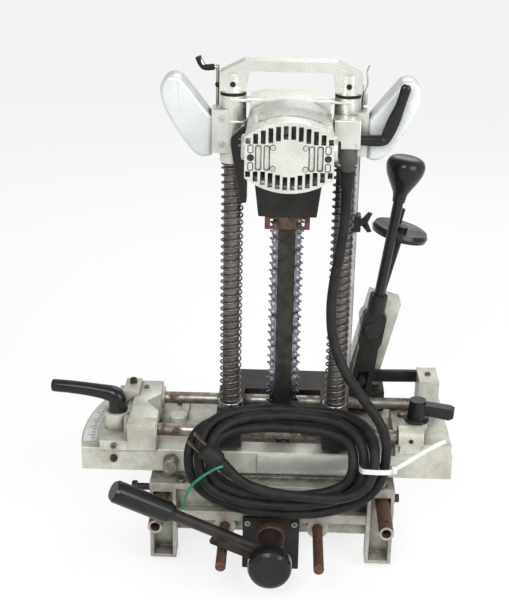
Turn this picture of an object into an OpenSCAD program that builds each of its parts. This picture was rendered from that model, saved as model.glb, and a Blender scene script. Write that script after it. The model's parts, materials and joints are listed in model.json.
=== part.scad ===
// Hand-fed chain mortiser on a swivelling traverse frame over a timber vise.
// X to the right, Y to the back, Z up, millimetres, standing on Z 0.

/* [Base] */
// Swivel axis to the curved scale end
base_left = 195; // [188:1:200]
// Swivel axis to the right end
base_right = 172; // [168:1:185]
// Column plane to the front wall
base_front = 42; // [40:1:48]
// Column plane to the back wall
base_back = 78; // [74:1:90]
// Height of the underside above the floor
base_z = 98; // [94:1:105]
// Height of the base casting
base_h = 24; // [22:1:28]
// Thickness of the top plate
base_top = 9; // [7:0.5:11]
// Thickness of the skirt
base_wall = 6; // [4:0.5:7]
// Length of the chain slot
slot_len = 110; // [90:1:120]
// Width of the chain slot
slot_wid = 40; // [34:1:44]

/* [Vise] */
// Half width over the feet
foot_half = 120; // [116:1:126]
// Height of the box feet above the floor
foot_z = 7; // [4:1:12]
// Offset of the vise to the right
vise_x = -3; // [-5:1:0]
// Width of one box foot
foot_w = 26; // [24:1:28]
// Wall of a box foot
foot_wall = 3.5; // [3:0.5:5]
// Front face of the vise casting
vise_front = 54; // [52:1:58]
// Height of the guide tubes
tube_z = 73; // [72:1:76]
// Outer radius of a guide tube
tube_r = 7; // [6:0.5:7.5]
// Bore radius of a guide tube
tube_bore = 4.5; // [3.5:0.5:5]
// Reach of the guide tubes to the front
tube_reach = 104; // [100:1:116]
// Half spacing of the guide rods
rod_half = 46; // [44:1:56]
// Height of the guide rods
rod_z = 44; // [40:1:46]
// Radius of a guide rod
rod_r = 5; // [4:0.5:6]
// Reach of the guide rods to the front
rod_reach = 124; // [115:1:126]
// Height of the clamp screw
screw_z = 40; // [38:1:42]
// Radius of the clamp screw
screw_r = 8; // [6:0.5:9]
// Thickness of the moving jaw
jaw_t = 10; // [8:1:12]
// Front face of the rear jaw
rear_jaw_y = 56; // [54:1:58]
// Radius of the round knob
vise_knob_r = 21; // [18:0.5:24]
// Length of the vise lever to the tip
vise_lever_len = 176; // [160:1:185]
// Rise of the vise lever above level
vise_lever_rise = 33; // [26:1:34]
// Lean of the vise lever to the front
vise_lever_lean = 16; // [14:1:18]
// Radius of the lever grip
grip_r = 10.5; // [9:0.5:11]

/* [Traverse frame] */
// Half spacing of the traverse rods
trav_half = 36; // [34:0.5:38]
// Height of the traverse rods
trav_z = 141; // [139:1:143]
// Radius of a traverse rod
trav_r = 6; // [5:0.5:6.5]
// Radius of the lock studs
stud_r = 5; // [4:0.5:6]
// Swivel each way
swivel = 6; // [3:1:6]
// Length of the left lock lever
lock_len = 66; // [60:1:72]

/* [Carriage] */
// Offset of the carriage to the right at rest
carriage_x = 5; // [3:0.5:6]
// Half spacing of the columns
col_half = 52; // [51:0.5:53]
// Radius of a column
col_r = 8; // [7.5:0.1:8.2]
// Top of the carriage casting
carriage_top = 150; // [149:0.5:151]
// Top of the columns
col_top = 484; // [480:1:486]
// Underside of the handle blocks, which the head hangs under
handle_z = 467; // [440:0.5:500]
// Height of the carry handle
handle_h = 29; // [27:1:34]
// Radius of the depth rod
depth_r = 4; // [3:0.5:4.5]
// Height of the depth stop
stop_z = 340; // [320:1:350]

/* [Traverse lever] */
// Height of the lever pivot
pivot_z = 221; // [218:1:224]
// Pivot to the right of the swivel axis
pivot_x = 94; // [92:1:97]
// Lean of the lever to the right
lever_lean = 8; // [7:0.5:9]
// Radius of the lever knob
lever_knob_r = 19; // [17:0.5:20]
// Lean of the lock spindle
spindle_lean = 13.5; // [12:0.5:14]
// Radius of the handwheel
wheel_r = 28; // [24:0.5:28]

/* [Head] */
// Bottom of the guide sleeves
sleeve_z = 402; // [400:1:404]
// Top of the guide sleeves
sleeve_top = 464; // [460:1:465]
// Space between the guide sleeves and the handle
handle_gap = 3; // [2:0.5:4]
// Outer radius of a sleeve
sleeve_r = 12; // [11:0.5:12]
// Height of the motor axis
motor_z = 435; // [434:0.5:436]
// Half width of the motor
motor_half = 37; // [35:0.5:38]
// Front of the motor end cover
motor_front = 117; // [112:1:119]
// Height of the sprocket axis
sprocket_z = 404; // [403:0.5:405]
// Height of the bar-tip roller
roller_z = 130; // [128:1:134]
// Radius of the chain path
chain_r = 11.5; // [11:0.1:13]
// Links in the chain
chain_links = 42; // [36:1:46]
// Depth of a grip from front to back
grip_depth = 30; // [26:1:32]

/* [Springs] */
// Radius of the spring wire
wire_r = 0.9; // [0.7:0.1:1]
// Mean radius of the spring
spring_r = 9.95; // [9.8:0.05:10.2]
// Curls in one spring
spring_turns = 36; // [28:1:36]

/* [Cord] */
// Diameter of the cord
cord_d = 9.5; // [8:0.5:10]
// Loops in the coil
coil_loops = 6; // [6:2:6]
// Half width of the outer loop
coil_half = 96; // [90:1:98]

/* [Hidden] */
$fn = 48;
// Middle of the overall box, taken to the origin
box_x = -25;
box_y = -19.4;
fit = 0.05;
gap = 0.3;
base_top_z = base_z + base_h;
under_top = base_top_z - base_top;
foot_x = foot_half - foot_w / 2;
tube_x = foot_half - 11;
jaw_low = 28;
// Start of the sleeve on the vise lever
grip_from = 113;
// Lever rod's root on the hub
vise_hub_y = 92;
jaw_back = -23;
jaw_front = jaw_back - jaw_t;
left_stud = [-158, -12];
left_boss_h = 27;
// Blind end of the front traverse rod
rod_left = -140;
right_stud = [138, -12];
col_x = [carriage_x - col_half, carriage_x + col_half];
collar_h = 8;
spring_z0 = carriage_top + collar_h;
lever_y = 46;
lever_t = 12;
pin_z = 163;
pin_drop = pivot_z - pin_z;
pin_x = pivot_x - pin_drop * tan(lever_lean);
spindle_y = 82;
spindle_foot = 80.5;
bracket_foot = 89.5;
bracket_h = 93;
lever_pin_end = spindle_y - 7;
wheel_up = 167;
depth_x = carriage_x + 63;
depth_y = 20;
motor_back = 17;
cover_len = 22;
cover_y = motor_front - cover_len;
gear_y = 16;
gear_w = 12;
gear_module = 2;
pinion_teeth = 9;
gear_teeth = 22;
// Lift of the whole head that keeps its sleeves just under the handle
head_lift = handle_z - sleeve_top - handle_gap;
case_half = 36;
case_back = 40;
case_z = 388;
case_top = 462;
// Cut-back of the rear corners, clear of the traverse lever's knob
case_cut = [12, 15];
cover_z = 355;
cover_back = 29;
guard_z = 342;
cast = "#c9cbc4";
black = "#1b1b1d";
steel = "#8f8f8c";
rust = "#6e4a38";

// Shared shapes
module box(low, high) {
  translate(low) cube(high - low);
}
// Cylinder along Y from y0 to y1 at x, z
module along_y(x, z, y0, y1, r) {
  translate([x, y0, z]) rotate([-90, 0, 0]) cylinder(r = r, h = y1 - y0);
}
// Cylinder along X from x0 to x1 at y, z
module along_x(y, z, x0, x1, r) {
  translate([x0, y, z]) rotate([0, 90, 0]) cylinder(r = r, h = x1 - x0);
}
module tube_z(r, bore, h) {
  difference() {
    cylinder(r = r, h = h);
    translate([0, 0, -1]) cylinder(r = bore, h = h + 2);
  }
}
// Cap screw with a socket, head up, seated on Z 0
module cap_screw(r, h) {
  difference() {
    cylinder(r = r, h = h);
    translate([0, 0, h * 0.4]) cylinder(r = r * 0.5, h = h, $fn = 6);
  }
}
// Curved slot about the swivel axis
module arc_slot(at, side) {
  r = norm(at);
  mid = atan2(at[1], at[0]);
  angle = 2 * (swivel + asin(side / r));
  rotate([0, 0, mid - angle / 2]) rotate_extrude(angle = angle)
    translate([r - side, base_z]) square([side * 2, base_h + 2]);
}

// Base
module base_outline(inset) {
  intersection() {
    translate([-base_left - 1, -base_front + inset])
      square([base_left + base_right + 1 - inset, base_front + base_back - inset * 2]);
    union() {
      circle(r = base_left - inset, $fn = 120);
      translate([0, -base_front]) square([base_right, base_front + base_back]);
    }
  }
}
module base_plate() {
  color(cast) difference() {
    translate([0, 0, base_z]) linear_extrude(base_h) base_outline(0);
    difference() {
      translate([0, 0, base_z - 1]) linear_extrude(base_h - base_top + 1) base_outline(base_wall);
      box([-slot_len / 2 - base_wall, -slot_wid / 2 - 2, 0],
        [slot_len / 2 + base_wall, slot_wid / 2 + 2, base_top_z]);
    }
    box([-slot_len / 2, -slot_wid / 2, 0], [slot_len / 2, slot_wid / 2, base_top_z + 1]);
    arc_slot(left_stud, stud_r + 0.6);
    arc_slot(right_stud, stud_r + 0.6);
  }
}

// Vise
module vise_frame() {
  rib_z = 50;
  wall_y = 34;
  top_z = 91;
  color(cast) difference() {
    union() {
      box([-foot_half, -vise_front, top_z - 6], [foot_half, -22, top_z]);
      box([-110, -base_front + base_wall + 0.5, top_z], [110, -slot_wid / 2 - 2.5, under_top]);
      box([-foot_half, -wall_y - 6, rib_z], [foot_half, -wall_y, top_z]);
      box([-100, -vise_front + 2, rib_z], [100, -wall_y, rib_z + 10]);
      for (side = [-1, 1]) {
        translate([side * foot_x, 0, 0])
          box([-foot_w / 2, -vise_front, foot_z], [foot_w / 2, -wall_y, top_z - 6]);
        along_y(side * rod_half, rod_z, -vise_front + 2, -wall_y, rod_r + 6);
      }
      along_y(0, screw_z, -vise_front + 2, -wall_y, 20);
      box([-20, -vise_front + 2, screw_z], [20, -wall_y, rib_z + 1]);
    }
    for (side = [-1, 1]) {
      translate([side * foot_x, 0, 0])
        box([-foot_w / 2 + foot_wall, -vise_front - 1, foot_z + foot_wall],
          [foot_w / 2 - foot_wall, -wall_y - foot_wall, top_z - 6 - foot_wall]);
      along_y(side * rod_half, rod_z, -vise_front, 0, rod_r + fit);
      along_y(side * tube_x, tube_z, -vise_front + 6, 0, tube_r + fit);
    }
    along_y(0, screw_z, -vise_front, 0, screw_r + 5 + fit);
  }
}
module rear_jaw() {
  color(cast) {
    box([-118, rear_jaw_y, 8], [118, rear_jaw_y + 8, under_top]);
    box([-118, rear_jaw_y, base_z - 12], [118, base_back - base_wall - 0.5, base_z - 4]);
    for (x = [-106, 0, 106])
      box([x - 4, rear_jaw_y + 7, 0], [x + 4, base_back - 2, base_z - 8]);
    for (side = [-1, 1])
      box([side * 106 - 14, rear_jaw_y, 0], [side * 106 + 14, base_back + 14, 9]);
  }
}
module thrust_plate() {
  color(black) difference() {
    union() {
      box([-28, -vise_front - 4, 6], [28, -vise_front + 2, 57]);
      for (side = [-1, 1])
        box([side * 22 - 6, -vise_front - 4, 0], [side * 22 + 6, -vise_front + 2, 8]);
    }
    along_y(0, screw_z, -100, 0, screw_r + fit);
  }
}
module thrust_plate_screws() {
  color(steel) for (side = [-1, 1])
    translate([side * 23, -vise_front - 4, 52.5]) rotate([90, 0, 0]) cap_screw(3, 2.5);
}
module vise_collar() {
  color(rust) difference() {
    along_y(0, screw_z, -68, -vise_front - 4, 14);
    along_y(0, screw_z, -70, 0, screw_r + fit);
  }
}
module jaw_plate() {
  color(cast) difference() {
    union() {
      box([-foot_half, jaw_front, jaw_low], [foot_half, jaw_back, 84]);
      along_y(0, screw_z, -50, jaw_front + 1, screw_r + 5);
    }
    along_y(0, screw_z, -51, -26, screw_r + fit);
    for (side = [-1, 1]) {
      along_y(side * rod_half, rod_z, jaw_front - 1, jaw_front + 6, rod_r + fit);
      along_y(side * tube_x, tube_z, jaw_front - 1, jaw_front + 6, tube_r + fit);
    }
  }
}
module guide_tubes() {
  color(rust) for (side = [-1, 1]) difference() {
    along_y(side * tube_x, tube_z, -tube_reach, jaw_front + 6, tube_r);
    along_y(side * tube_x, tube_z, -tube_reach - 1, jaw_front - 6, tube_bore);
    translate([side * tube_x, -tube_reach + 12, tube_z]) cylinder(r = 2.5, h = tube_r + 1);
  }
}
module guide_rods() {
  color(rust) for (side = [-1, 1])
    along_y(side * rod_half, rod_z, -rod_reach, jaw_front + 6, rod_r);
}
// Vise lever: placed along its own X axis from the clamp screw outwards
module on_vise_lever() {
  translate([0, -vise_hub_y, screw_z]) rotate([0, vise_lever_rise, 0]) rotate([0, 0, vise_lever_lean])
    mirror([1, 0, 0]) rotate([0, 90, 0]) children();
}
module vise_lever() {
  color(black) difference() {
    union() {
      along_y(0, screw_z, -102, -68 - gap, 13);
      on_vise_lever() cylinder(r = 5.5, h = vise_lever_len - 6);
      on_vise_lever() translate([0, -2.5, 0]) cube([13, 5, 62]);
    }
    along_y(0, screw_z, -104, 0, screw_r + fit);
  }
}
module vise_grip() {
  color(black) on_vise_lever() difference() {
    union() {
      translate([0, 0, grip_from]) cylinder(r1 = grip_r - 2, r2 = grip_r, h = 6);
      translate([0, 0, grip_from + 6]) cylinder(r = grip_r, h = vise_lever_len - grip_from - 9);
      translate([0, 0, vise_lever_len - 3]) cylinder(r1 = grip_r, r2 = grip_r - 2, h = 3);
    }
    translate([0, 0, grip_from - 2]) cylinder(r = 5.5 + fit, h = vise_lever_len - 4 - grip_from);
  }
}
module clamp_screw() {
  color(steel) along_y(0, screw_z, -112, -27, screw_r);
}
module vise_knob() {
  color(black) difference() {
    translate([0, -126, screw_z]) rotate([-90, 0, 0]) rotate_extrude()
      polygon([[0, 0], [vise_knob_r - 6, 1], [vise_knob_r - 1.5, 4], [vise_knob_r, 8],
        [vise_knob_r, 16], [vise_knob_r - 2, 20], [11, 22], [11, 24 - gap], [0, 24 - gap]]);
    along_y(0, screw_z, -112 - fit, -90, screw_r + fit);
  }
}

// Traverse frame
module left_block() {
  color(cast) difference() {
    union() {
      box([-172, -46, base_top_z + fit], [-128, 48, base_top_z + 10]);
      for (side = [-1, 1]) {
        back = side < 0 ? -144 : -162;
        along_x(side * trav_half, trav_z, back, -116, 11);
        box([back, side * trav_half - 11, base_top_z + 5], [-126, side * trav_half + 11, trav_z]);
      }
      translate([left_stud[0], left_stud[1], base_top_z + fit]) cylinder(r = 13, h = left_boss_h);
      box([-150, -30, base_top_z + 5], [-128, 36, base_top_z + 26]);
      box([-156, 12, base_top_z + 5], [-140, 44, base_top_z + 36]);
    }
    along_x(-trav_half, trav_z, rod_left, -110, trav_r + fit);
    along_x(trav_half, trav_z, -160, -110, trav_r + fit);
    translate([left_stud[0], left_stud[1], 0]) cylinder(r = stud_r + fit, h = 300);
    translate([-139, 2, base_top_z + 12]) linear_extrude(40) polygon([[-7, -16], [7, -16], [7, 10]]);
  }
}
module right_block() {
  color(cast) difference() {
    union() {
      box([116, -base_front, base_top_z + fit], [base_right - 2, 43, base_top_z + 13]);
      box([139, 40, base_top_z + fit], [base_right - 2, lever_y + 16, base_top_z + 13]);
      along_x(-trav_half, trav_z, 118, 142, 11);
      box([120, -trav_half - 10, base_top_z + 5], [140, -trav_half + 10, trav_z]);
      box([143, 24, base_top_z + 5], [163, lever_y + 14, 172]);
      translate([right_stud[0], right_stud[1], base_top_z + 5]) cylinder(r = 11, h = 20);
    }
    along_x(-trav_half, trav_z, 110, 138, trav_r + fit);
    along_x(trav_half, trav_z, 110, 158, trav_r + fit);
    translate([right_stud[0], right_stud[1], 0]) cylinder(r = stud_r + fit, h = 300);
  }
}
module traverse_rods() {
  color(steel) {
    along_x(-trav_half, trav_z, rod_left, 138, trav_r);
    along_x(trav_half, trav_z, -160, 158, trav_r);
  }
}
module reaction_arm() {
  color(black) {
    translate([0, lever_y + lever_t / 2 + 6.5, 0]) rotate([90, 0, 0]) linear_extrude(5)
      polygon([[pin_x - 7, pin_z - 6], [pin_x + 8, pin_z - 6], [143, 158], [143, 170],
        [pin_x + 8, pin_z + 6], [pin_x - 7, pin_z + 6]]);
    along_y(pin_x, pin_z, lever_y - lever_t / 2 - 1, lever_y + lever_t / 2 + 2, 4);
  }
}
module lock_stud(at, top) {
  color(steel) translate([at[0], at[1], 0]) {
    translate([0, 0, under_top - 6]) cylinder(r = stud_r + 2, h = 6 - gap);
    translate([0, 0, under_top - 3]) cylinder(r = stud_r, h = top - under_top + 3);
  }
}
module left_lock_stud() lock_stud(left_stud, base_top_z + left_boss_h + 18);
module right_lock_stud() lock_stud(right_stud, base_top_z + 44);
module lock_lever(at, z, hub_h, len, turn, rise) {
  color(black) difference() {
    translate([at[0], at[1], z]) union() {
      cylinder(r1 = 10, r2 = 8, h = hub_h);
      translate([0, 0, hub_h - 9]) rotate([0, 0, turn]) rotate([0, -rise, 0])
        rotate([90, 0, 0]) linear_extrude(11, center = true)
        polygon([[0, -4], [len - 4, -6], [len, -3], [len, 4], [len - 4, 6], [0, 6]]);
    }
    translate([at[0], at[1], 0]) cylinder(r = stud_r + fit, h = z + hub_h - 2);
  }
}
module left_lock_lever() lock_lever(left_stud, base_top_z + left_boss_h + gap, 22, lock_len, 176, 7);
module right_lock_lever() lock_lever(right_stud, base_top_z + 25 + gap, 22, 36, -12, -2);
module index_screws() {
  color(rust) translate([left_stud[0], -46, base_top_z + 5]) rotate([90, 0, 0]) cap_screw(3, 2.5);
}

// Carriage
module carriage() {
  low = 128;
  color(black) difference() {
    union() {
      for (x = col_x) box([x - 13, -45, low], [x + 13, 50, carriage_top]);
      box([col_x[0], 44, low], [110, spindle_y + 10, carriage_top]);
    }
    for (side = [-1, 1]) along_x(side * trav_half, trav_z, -120, 140, trav_r + fit);
    for (x = col_x) translate([x, 0, low + 4]) cylinder(r = col_r + fit, h = 60);
    translate([depth_x, depth_y, low + 4]) cylinder(r = depth_r + fit, h = 60);
    translate([spindle_foot, spindle_y, carriage_top]) rotate([0, spindle_lean, 0])
      translate([0, 0, -12]) cylinder(r = 5 + fit, h = 40);
  }
}
module columns() {
  color(steel) for (x = col_x)
    translate([x, 0, 132]) cylinder(r = col_r, h = col_top + head_lift - 132);
}
module spring_collars() {
  color(steel) for (x = col_x)
    translate([x, 0, carriage_top]) tube_z(12, col_r + fit, collar_h);
}
module carry_handle() {
  block = 12;
  top = handle_z + handle_h;
  color(cast) difference() {
    union() {
      for (x = col_x) translate([x, 0, handle_z]) cylinder(r = block, h = handle_h - 11);
      translate([0, 11, 0]) rotate([90, 0, 0]) linear_extrude(22)
        polygon([[col_x[0] - block, handle_z + 2], [col_x[0] - block, top - 11], [col_x[0] + 10, top],
          [col_x[1] - 10, top], [col_x[1] + block, top - 11], [col_x[1] + block, handle_z + 2],
          [col_x[1] - block, handle_z + 2], [col_x[1] - 14, top - 9], [col_x[0] + 14, top - 9],
          [col_x[0] + block, handle_z + 2]]);
    }
    for (x = col_x) translate([x, 0, 100]) cylinder(r = col_r + fit, h = col_top + head_lift - 100);
    for (x = col_x) along_y(x, handle_z + 8, -20, 0, 2.6);
  }
}
module handle_screws() {
  color(black) for (x = col_x)
    along_y(x, handle_z + 8, -11, -col_r - 0.3, 2.5);
}
module lever_bracket() {
  color(cast) difference() {
    intersection() {
      union() {
        translate([bracket_foot, spindle_y, carriage_top]) rotate([0, spindle_lean, 0])
          box([-20, -20, -20], [12, 10, bracket_h / cos(spindle_lean)]);
        along_y(pivot_x, pivot_z, spindle_y - 20, spindle_y, 12);
        box([60, spindle_y - 20, carriage_top], [106, spindle_y + 10, carriage_top + 8]);
      }
      box([60, 40, carriage_top], [140, spindle_y + 20, 300]);
    }
    along_y(pivot_x, pivot_z, 0, lever_pin_end, 5 + fit);
    translate([spindle_foot, spindle_y, carriage_top]) rotate([0, spindle_lean, 0])
      translate([0, 0, -20]) cylinder(r = 5 + fit, h = 200);
  }
}
module lever_pin() {
  color(steel) {
    along_y(pivot_x, pivot_z, lever_y - lever_t / 2 - 4, lever_pin_end, 5);
    along_y(pivot_x, pivot_z, lever_y - lever_t / 2 - 4, lever_y - lever_t / 2 - gap, 8);
  }
}
module depth_rod() {
  color(steel) translate([depth_x, depth_y, 132]) cylinder(r = depth_r, h = 340 + head_lift);
}
module stop_block() {
  color(black) translate([depth_x, depth_y, stop_z]) difference() {
    box([-8, -7.4, -8], [7, 6, 8]);
    translate([0, 0, -20]) cylinder(r = depth_r + fit, h = 40);
    along_x(0, 0, 4, 20, 2.5 + fit);
  }
}
module wing_bolt() {
  color(black) translate([depth_x, depth_y, stop_z]) {
    along_x(0, 0, 5, 12, 2.5);
    along_x(0, 0, 7 + gap, 13, 4);
    translate([9, 1.5, 0]) rotate([90, 0, 0]) linear_extrude(3)
      polygon([[0, -4], [5, -10], [9, -9], [5, 0], [9, 9], [5, 10], [0, 4]]);
  }
}
// Traverse lever, along its own Z axis from the pivot
module on_lever() {
  translate([pivot_x, lever_y, pivot_z]) rotate([0, lever_lean, 0]) children();
}
module lever_arm() {
  color(black) difference() {
    union() {
      on_lever() translate([0, lever_t / 2, 0]) rotate([90, 0, 0]) linear_extrude(lever_t)
        polygon([[-12, -14], [-12, 14], [-8, 18], [8, 18], [12, 14], [12, -14], [10, -20],
          [11, -68], [-11, -68], [-10, -20]]);
      on_lever() translate([0, 0, 16]) cylinder(r = 9, h = 20);
    }
    along_y(pivot_x, pivot_z, 0, lever_y + 20, 5 + fit);
    on_lever() box([-5.6, -20, -90], [5.6, 20, -47]);
    on_lever() translate([0, 0, 20]) cylinder(r = 5 + fit, h = 30);
  }
}
module lever_rod() {
  color(black) on_lever() translate([0, 0, 20]) cylinder(r = 5, h = 126);
}
module lever_knob() {
  r = lever_knob_r;
  color(black) on_lever() translate([0, 0, 134]) difference() {
    rotate_extrude() polygon([[0, 0], [8, 0], [9, 3], [r - 4, 20], [r - 0.5, 30], [r, 35],
      [r - 2, 40], [r - 7, 44], [0, 46]]);
    translate([0, 0, -1]) cylinder(r = 5 + fit, h = 13);
  }
}
module on_spindle() {
  translate([spindle_foot, spindle_y, carriage_top]) rotate([0, spindle_lean, 0]) children();
}
module lock_spindle() {
  color(steel) on_spindle() translate([0, 0, -11]) cylinder(r = 5, h = wheel_up + 8);
}
module lock_wheel() {
  color(black) on_spindle() translate([0, 0, wheel_up - 8]) difference() {
    union() {
      rotate_extrude() polygon([[0, 0], [7, 0], [7, 4], [wheel_r - 4, 6], [wheel_r - 3, 3],
        [wheel_r, 4], [wheel_r + 1, 8], [wheel_r - 1, 12], [wheel_r - 4, 11], [7, 9], [7, 14], [0, 14]]);
      translate([0, wheel_r - 3, 8]) cylinder(r = 3.2, h = 17);
    }
    translate([0, 0, -1]) cylinder(r = 5 + fit, h = 6);
  }
}

// Head
module motor_outline(inset) {
  round = 60;
  intersection() {
    square([(motor_half - inset) * 2, 100], center = true);
    translate([0, -round / 2]) circle(r = round - inset, $fn = 96);
    translate([0, round / 2]) circle(r = round - inset, $fn = 96);
  }
}
// Motor outline along Y from y0 to y1
module motor_prism(y0, y1, inset) {
  translate([carriage_x, y1, motor_z]) rotate([90, 0, 0]) linear_extrude(y1 - y0) motor_outline(inset);
}
// Gear case outline from z0 to z1, drawn in by inset
module case_prism(inset, z0, z1) {
  half = case_half - inset;
  front = -motor_back + inset;
  back = case_back - inset;
  translate([carriage_x, 0, z0]) linear_extrude(z1 - z0)
    polygon([[-half, front], [half, front], [half, back - case_cut[1]], [half - case_cut[0], back],
      [-half + case_cut[0], back], [-half, back - case_cut[1]]]);
}
module head_frame() {
  color(cast) difference() {
    union() {
      for (x = col_x) translate([x, 0, sleeve_z]) cylinder(r = sleeve_r, h = sleeve_top - sleeve_z);
      case_prism(0, case_z, case_top);
      for (z = [case_top - 4, 438]) box([col_x[0], -5, z], [col_x[1], 5, z + 4]);
      for (side = [-1, 1]) translate([carriage_x, 0, 0])
        box([side * 62.5 - 8.5, -12, 412], [side * 62.5 + 8.5, 12, 452]);
      translate([depth_x, depth_y, sleeve_top - 10]) cylinder(r = 8, h = 10);
      box([col_x[1] - 4, 0, sleeve_top - 10], [depth_x, depth_y, sleeve_top]);
    }
    case_prism(4, case_z - 1, case_top - 4);
    along_y(carriage_x, motor_z, -30, 0, 15);
    for (x = col_x) translate([x, 0, 300]) cylinder(r = col_r + 0.06, h = 200);
    translate([depth_x, depth_y, 300]) cylinder(r = depth_r + 0.3, h = 200);
  }
}
module motor_housing() {
  color(cast) difference() {
    union() {
      motor_prism(-cover_y, -motor_back, 0);
      along_x(-80, motor_z, carriage_x - motor_half - 4, carriage_x + motor_half + 4, 11);
    }
    motor_prism(-cover_y - 1, -motor_back - 5, 4);
    along_y(carriage_x, motor_z, -60, 0, 5 + fit);
    along_x(-80, motor_z, -80, 80, 5 + fit);
  }
}
module motor_cover() {
  vents = 12;
  step = 6.2;
  color(cast) difference() {
    motor_prism(-motor_front, -cover_y, 0);
    motor_prism(-motor_front + 4, -cover_y + 1, 4);
    for (i = [0 : vents - 1], side = [-1, 1]) {
      x = (i - (vents - 1) / 2) * step;
      edge = sqrt(60 * 60 - x * x) - 30 - 3;
      inner = 11.5 + 5 * max(0, 1 - abs(x) / 20);
      translate([carriage_x + x, -motor_front - 1, motor_z + side * (edge + inner) / 2])
        cube([4, 20, edge - inner], center = true);
    }
    for (x = [-25.5, -18.5, 18.5, 25.5])
      translate([carriage_x + x, -motor_front, motor_z]) cube([4, 2, 20], center = true);
    for (side = [-1, 1]) along_y(carriage_x + side * 32, motor_z, -motor_front - 1, -motor_front + 2, 3);
  }
}
module cover_screws() {
  color(steel) for (side = [-1, 1])
    translate([carriage_x + side * 32, -motor_front + 2, motor_z]) rotate([90, 0, 0]) cap_screw(2.9, 2);
}
module brush_caps() {
  color(black) for (side = [-1, 1]) translate([carriage_x + side * (motor_half + 4), -80, motor_z])
    rotate([0, side * 90, 0]) cap_screw(7, 2.5);
}
module switch_box() {
  low = [carriage_x + 39, -36, 424];
  color(cast) difference() {
    box(low, [carriage_x + 63, -sleeve_r, 450]);
    box(low + [3, 3, 3], [carriage_x + 60, -sleeve_r - 3, 447]);
    translate([carriage_x + 53, -27, 420]) cylinder(r = cord_d / 2 + 0.3, h = 10);
  }
}
module cord_guard() {
  color("#5a5650") translate([carriage_x + 53, -27, 402]) difference() {
    union() {
      cylinder(r1 = 6, r2 = 7, h = 7);
      translate([0, 0, 7]) cylinder(r = 8.2, h = 15);
    }
    translate([0, 0, 5]) cylinder(r = cord_d / 2 + fit, h = 30);
  }
}
module switch_lever() {
  color(black) {
    along_x(-24, 430, carriage_x + 63 + gap, carriage_x + 86, 4.5);
    translate([carriage_x + 84, -22, 430]) rotate([0, 19, 0]) rotate([90, 0, 0]) linear_extrude(5)
      union() {
        translate([-4.5, 0]) square([9, 48]);
        translate([0, 48]) circle(r = 4.5);
      }
  }
}
// Grip wing outline, out from the head and up
module grip_outline() {
  difference() {
    polygon([[71, 410], [80, 409], [89, 415], [103, 434], [113, 452], [117, 468], [115, 478],
      [109, 483], [98, 482], [95, 478], [71, 446]]);
    translate([107, 473]) difference() {
      translate([0, 0]) square([20, 20]);
      circle(r = 10);
    }
  }
}
module grip(side) {
  color(cast) translate([carriage_x, 0, 0]) mirror([side < 0 ? 1 : 0, 0, 0])
    translate([0, grip_depth / 2, 0]) rotate([90, 0, 0]) linear_extrude(grip_depth) grip_outline();
}
module left_grip() grip(-1);
module right_grip() grip(1);
module cord_hooks() {
  color(steel) {
    translate([carriage_x - 67, 14, 440]) cylinder(r = 1.6, h = 48);
    translate([carriage_x - 67, 14, 486]) rotate([0, -90, 0]) cylinder(r = 1.6, h = 13);
    translate([carriage_x - 80, 14, 486]) sphere(r = 2.6);
    translate([carriage_x - 80, 14, 486]) rotate([0, -30, 0]) cylinder(r = 2.6, h = 10);
    box([carriage_x - 71, 12, 438], [carriage_x - 63, 16, 446]);
  }
}
module chip_deflector() {
  color(black) translate([carriage_x - 37.5, -16, 0]) rotate([90, 0, 0]) linear_extrude(20)
    polygon([[0, 446], [0, 372], [-6, 372], [-15, 425], [-15, 432]]);
}
module chain_cover() {
  color(black) difference() {
    translate([carriage_x, cover_back + 3, 0]) rotate([90, 0, 0]) linear_extrude(cover_back + 23)
      polygon([[-27, cover_z], [27, cover_z], [31, case_z], [-31, case_z]]);
    box([carriage_x - 23, -17, cover_z - 1], [carriage_x + 23, cover_back, case_z + 1]);
  }
}
module chain_guard() {
  color(rust) difference() {
    box([carriage_x - 21, -17 + gap, guard_z], [carriage_x + 21, cover_back - gap, cover_z + 6]);
    box([carriage_x - 19, -14, guard_z - 1], [carriage_x + 19, cover_back - 3, cover_z + 9]);
    box([carriage_x - 19, -20, cover_z], [carriage_x + 19, -10, cover_z + 9]);
    for (x = [-12, 0, 12])
      box([carriage_x + x - 4, -20, guard_z + 3], [carriage_x + x + 4, -10, guard_z + 10]);
  }
}
module chain_bar() {
  half = chain_r - 3.5;
  color("#3a322c") translate([carriage_x, 0, 0]) difference() {
    union() {
      box([-half, -7, roller_z + 12], [half, 7, 386]);
      box([-6, -7, roller_z - 4], [6, 7, roller_z + 13]);
      box([-6, 6, 363], [6, cover_back, 378]);
    }
    box([-20, -4, 0], [20, 4, roller_z + 11.5]);
    along_y(0, roller_z, -20, 20, 3 + fit);
  }
}
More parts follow.
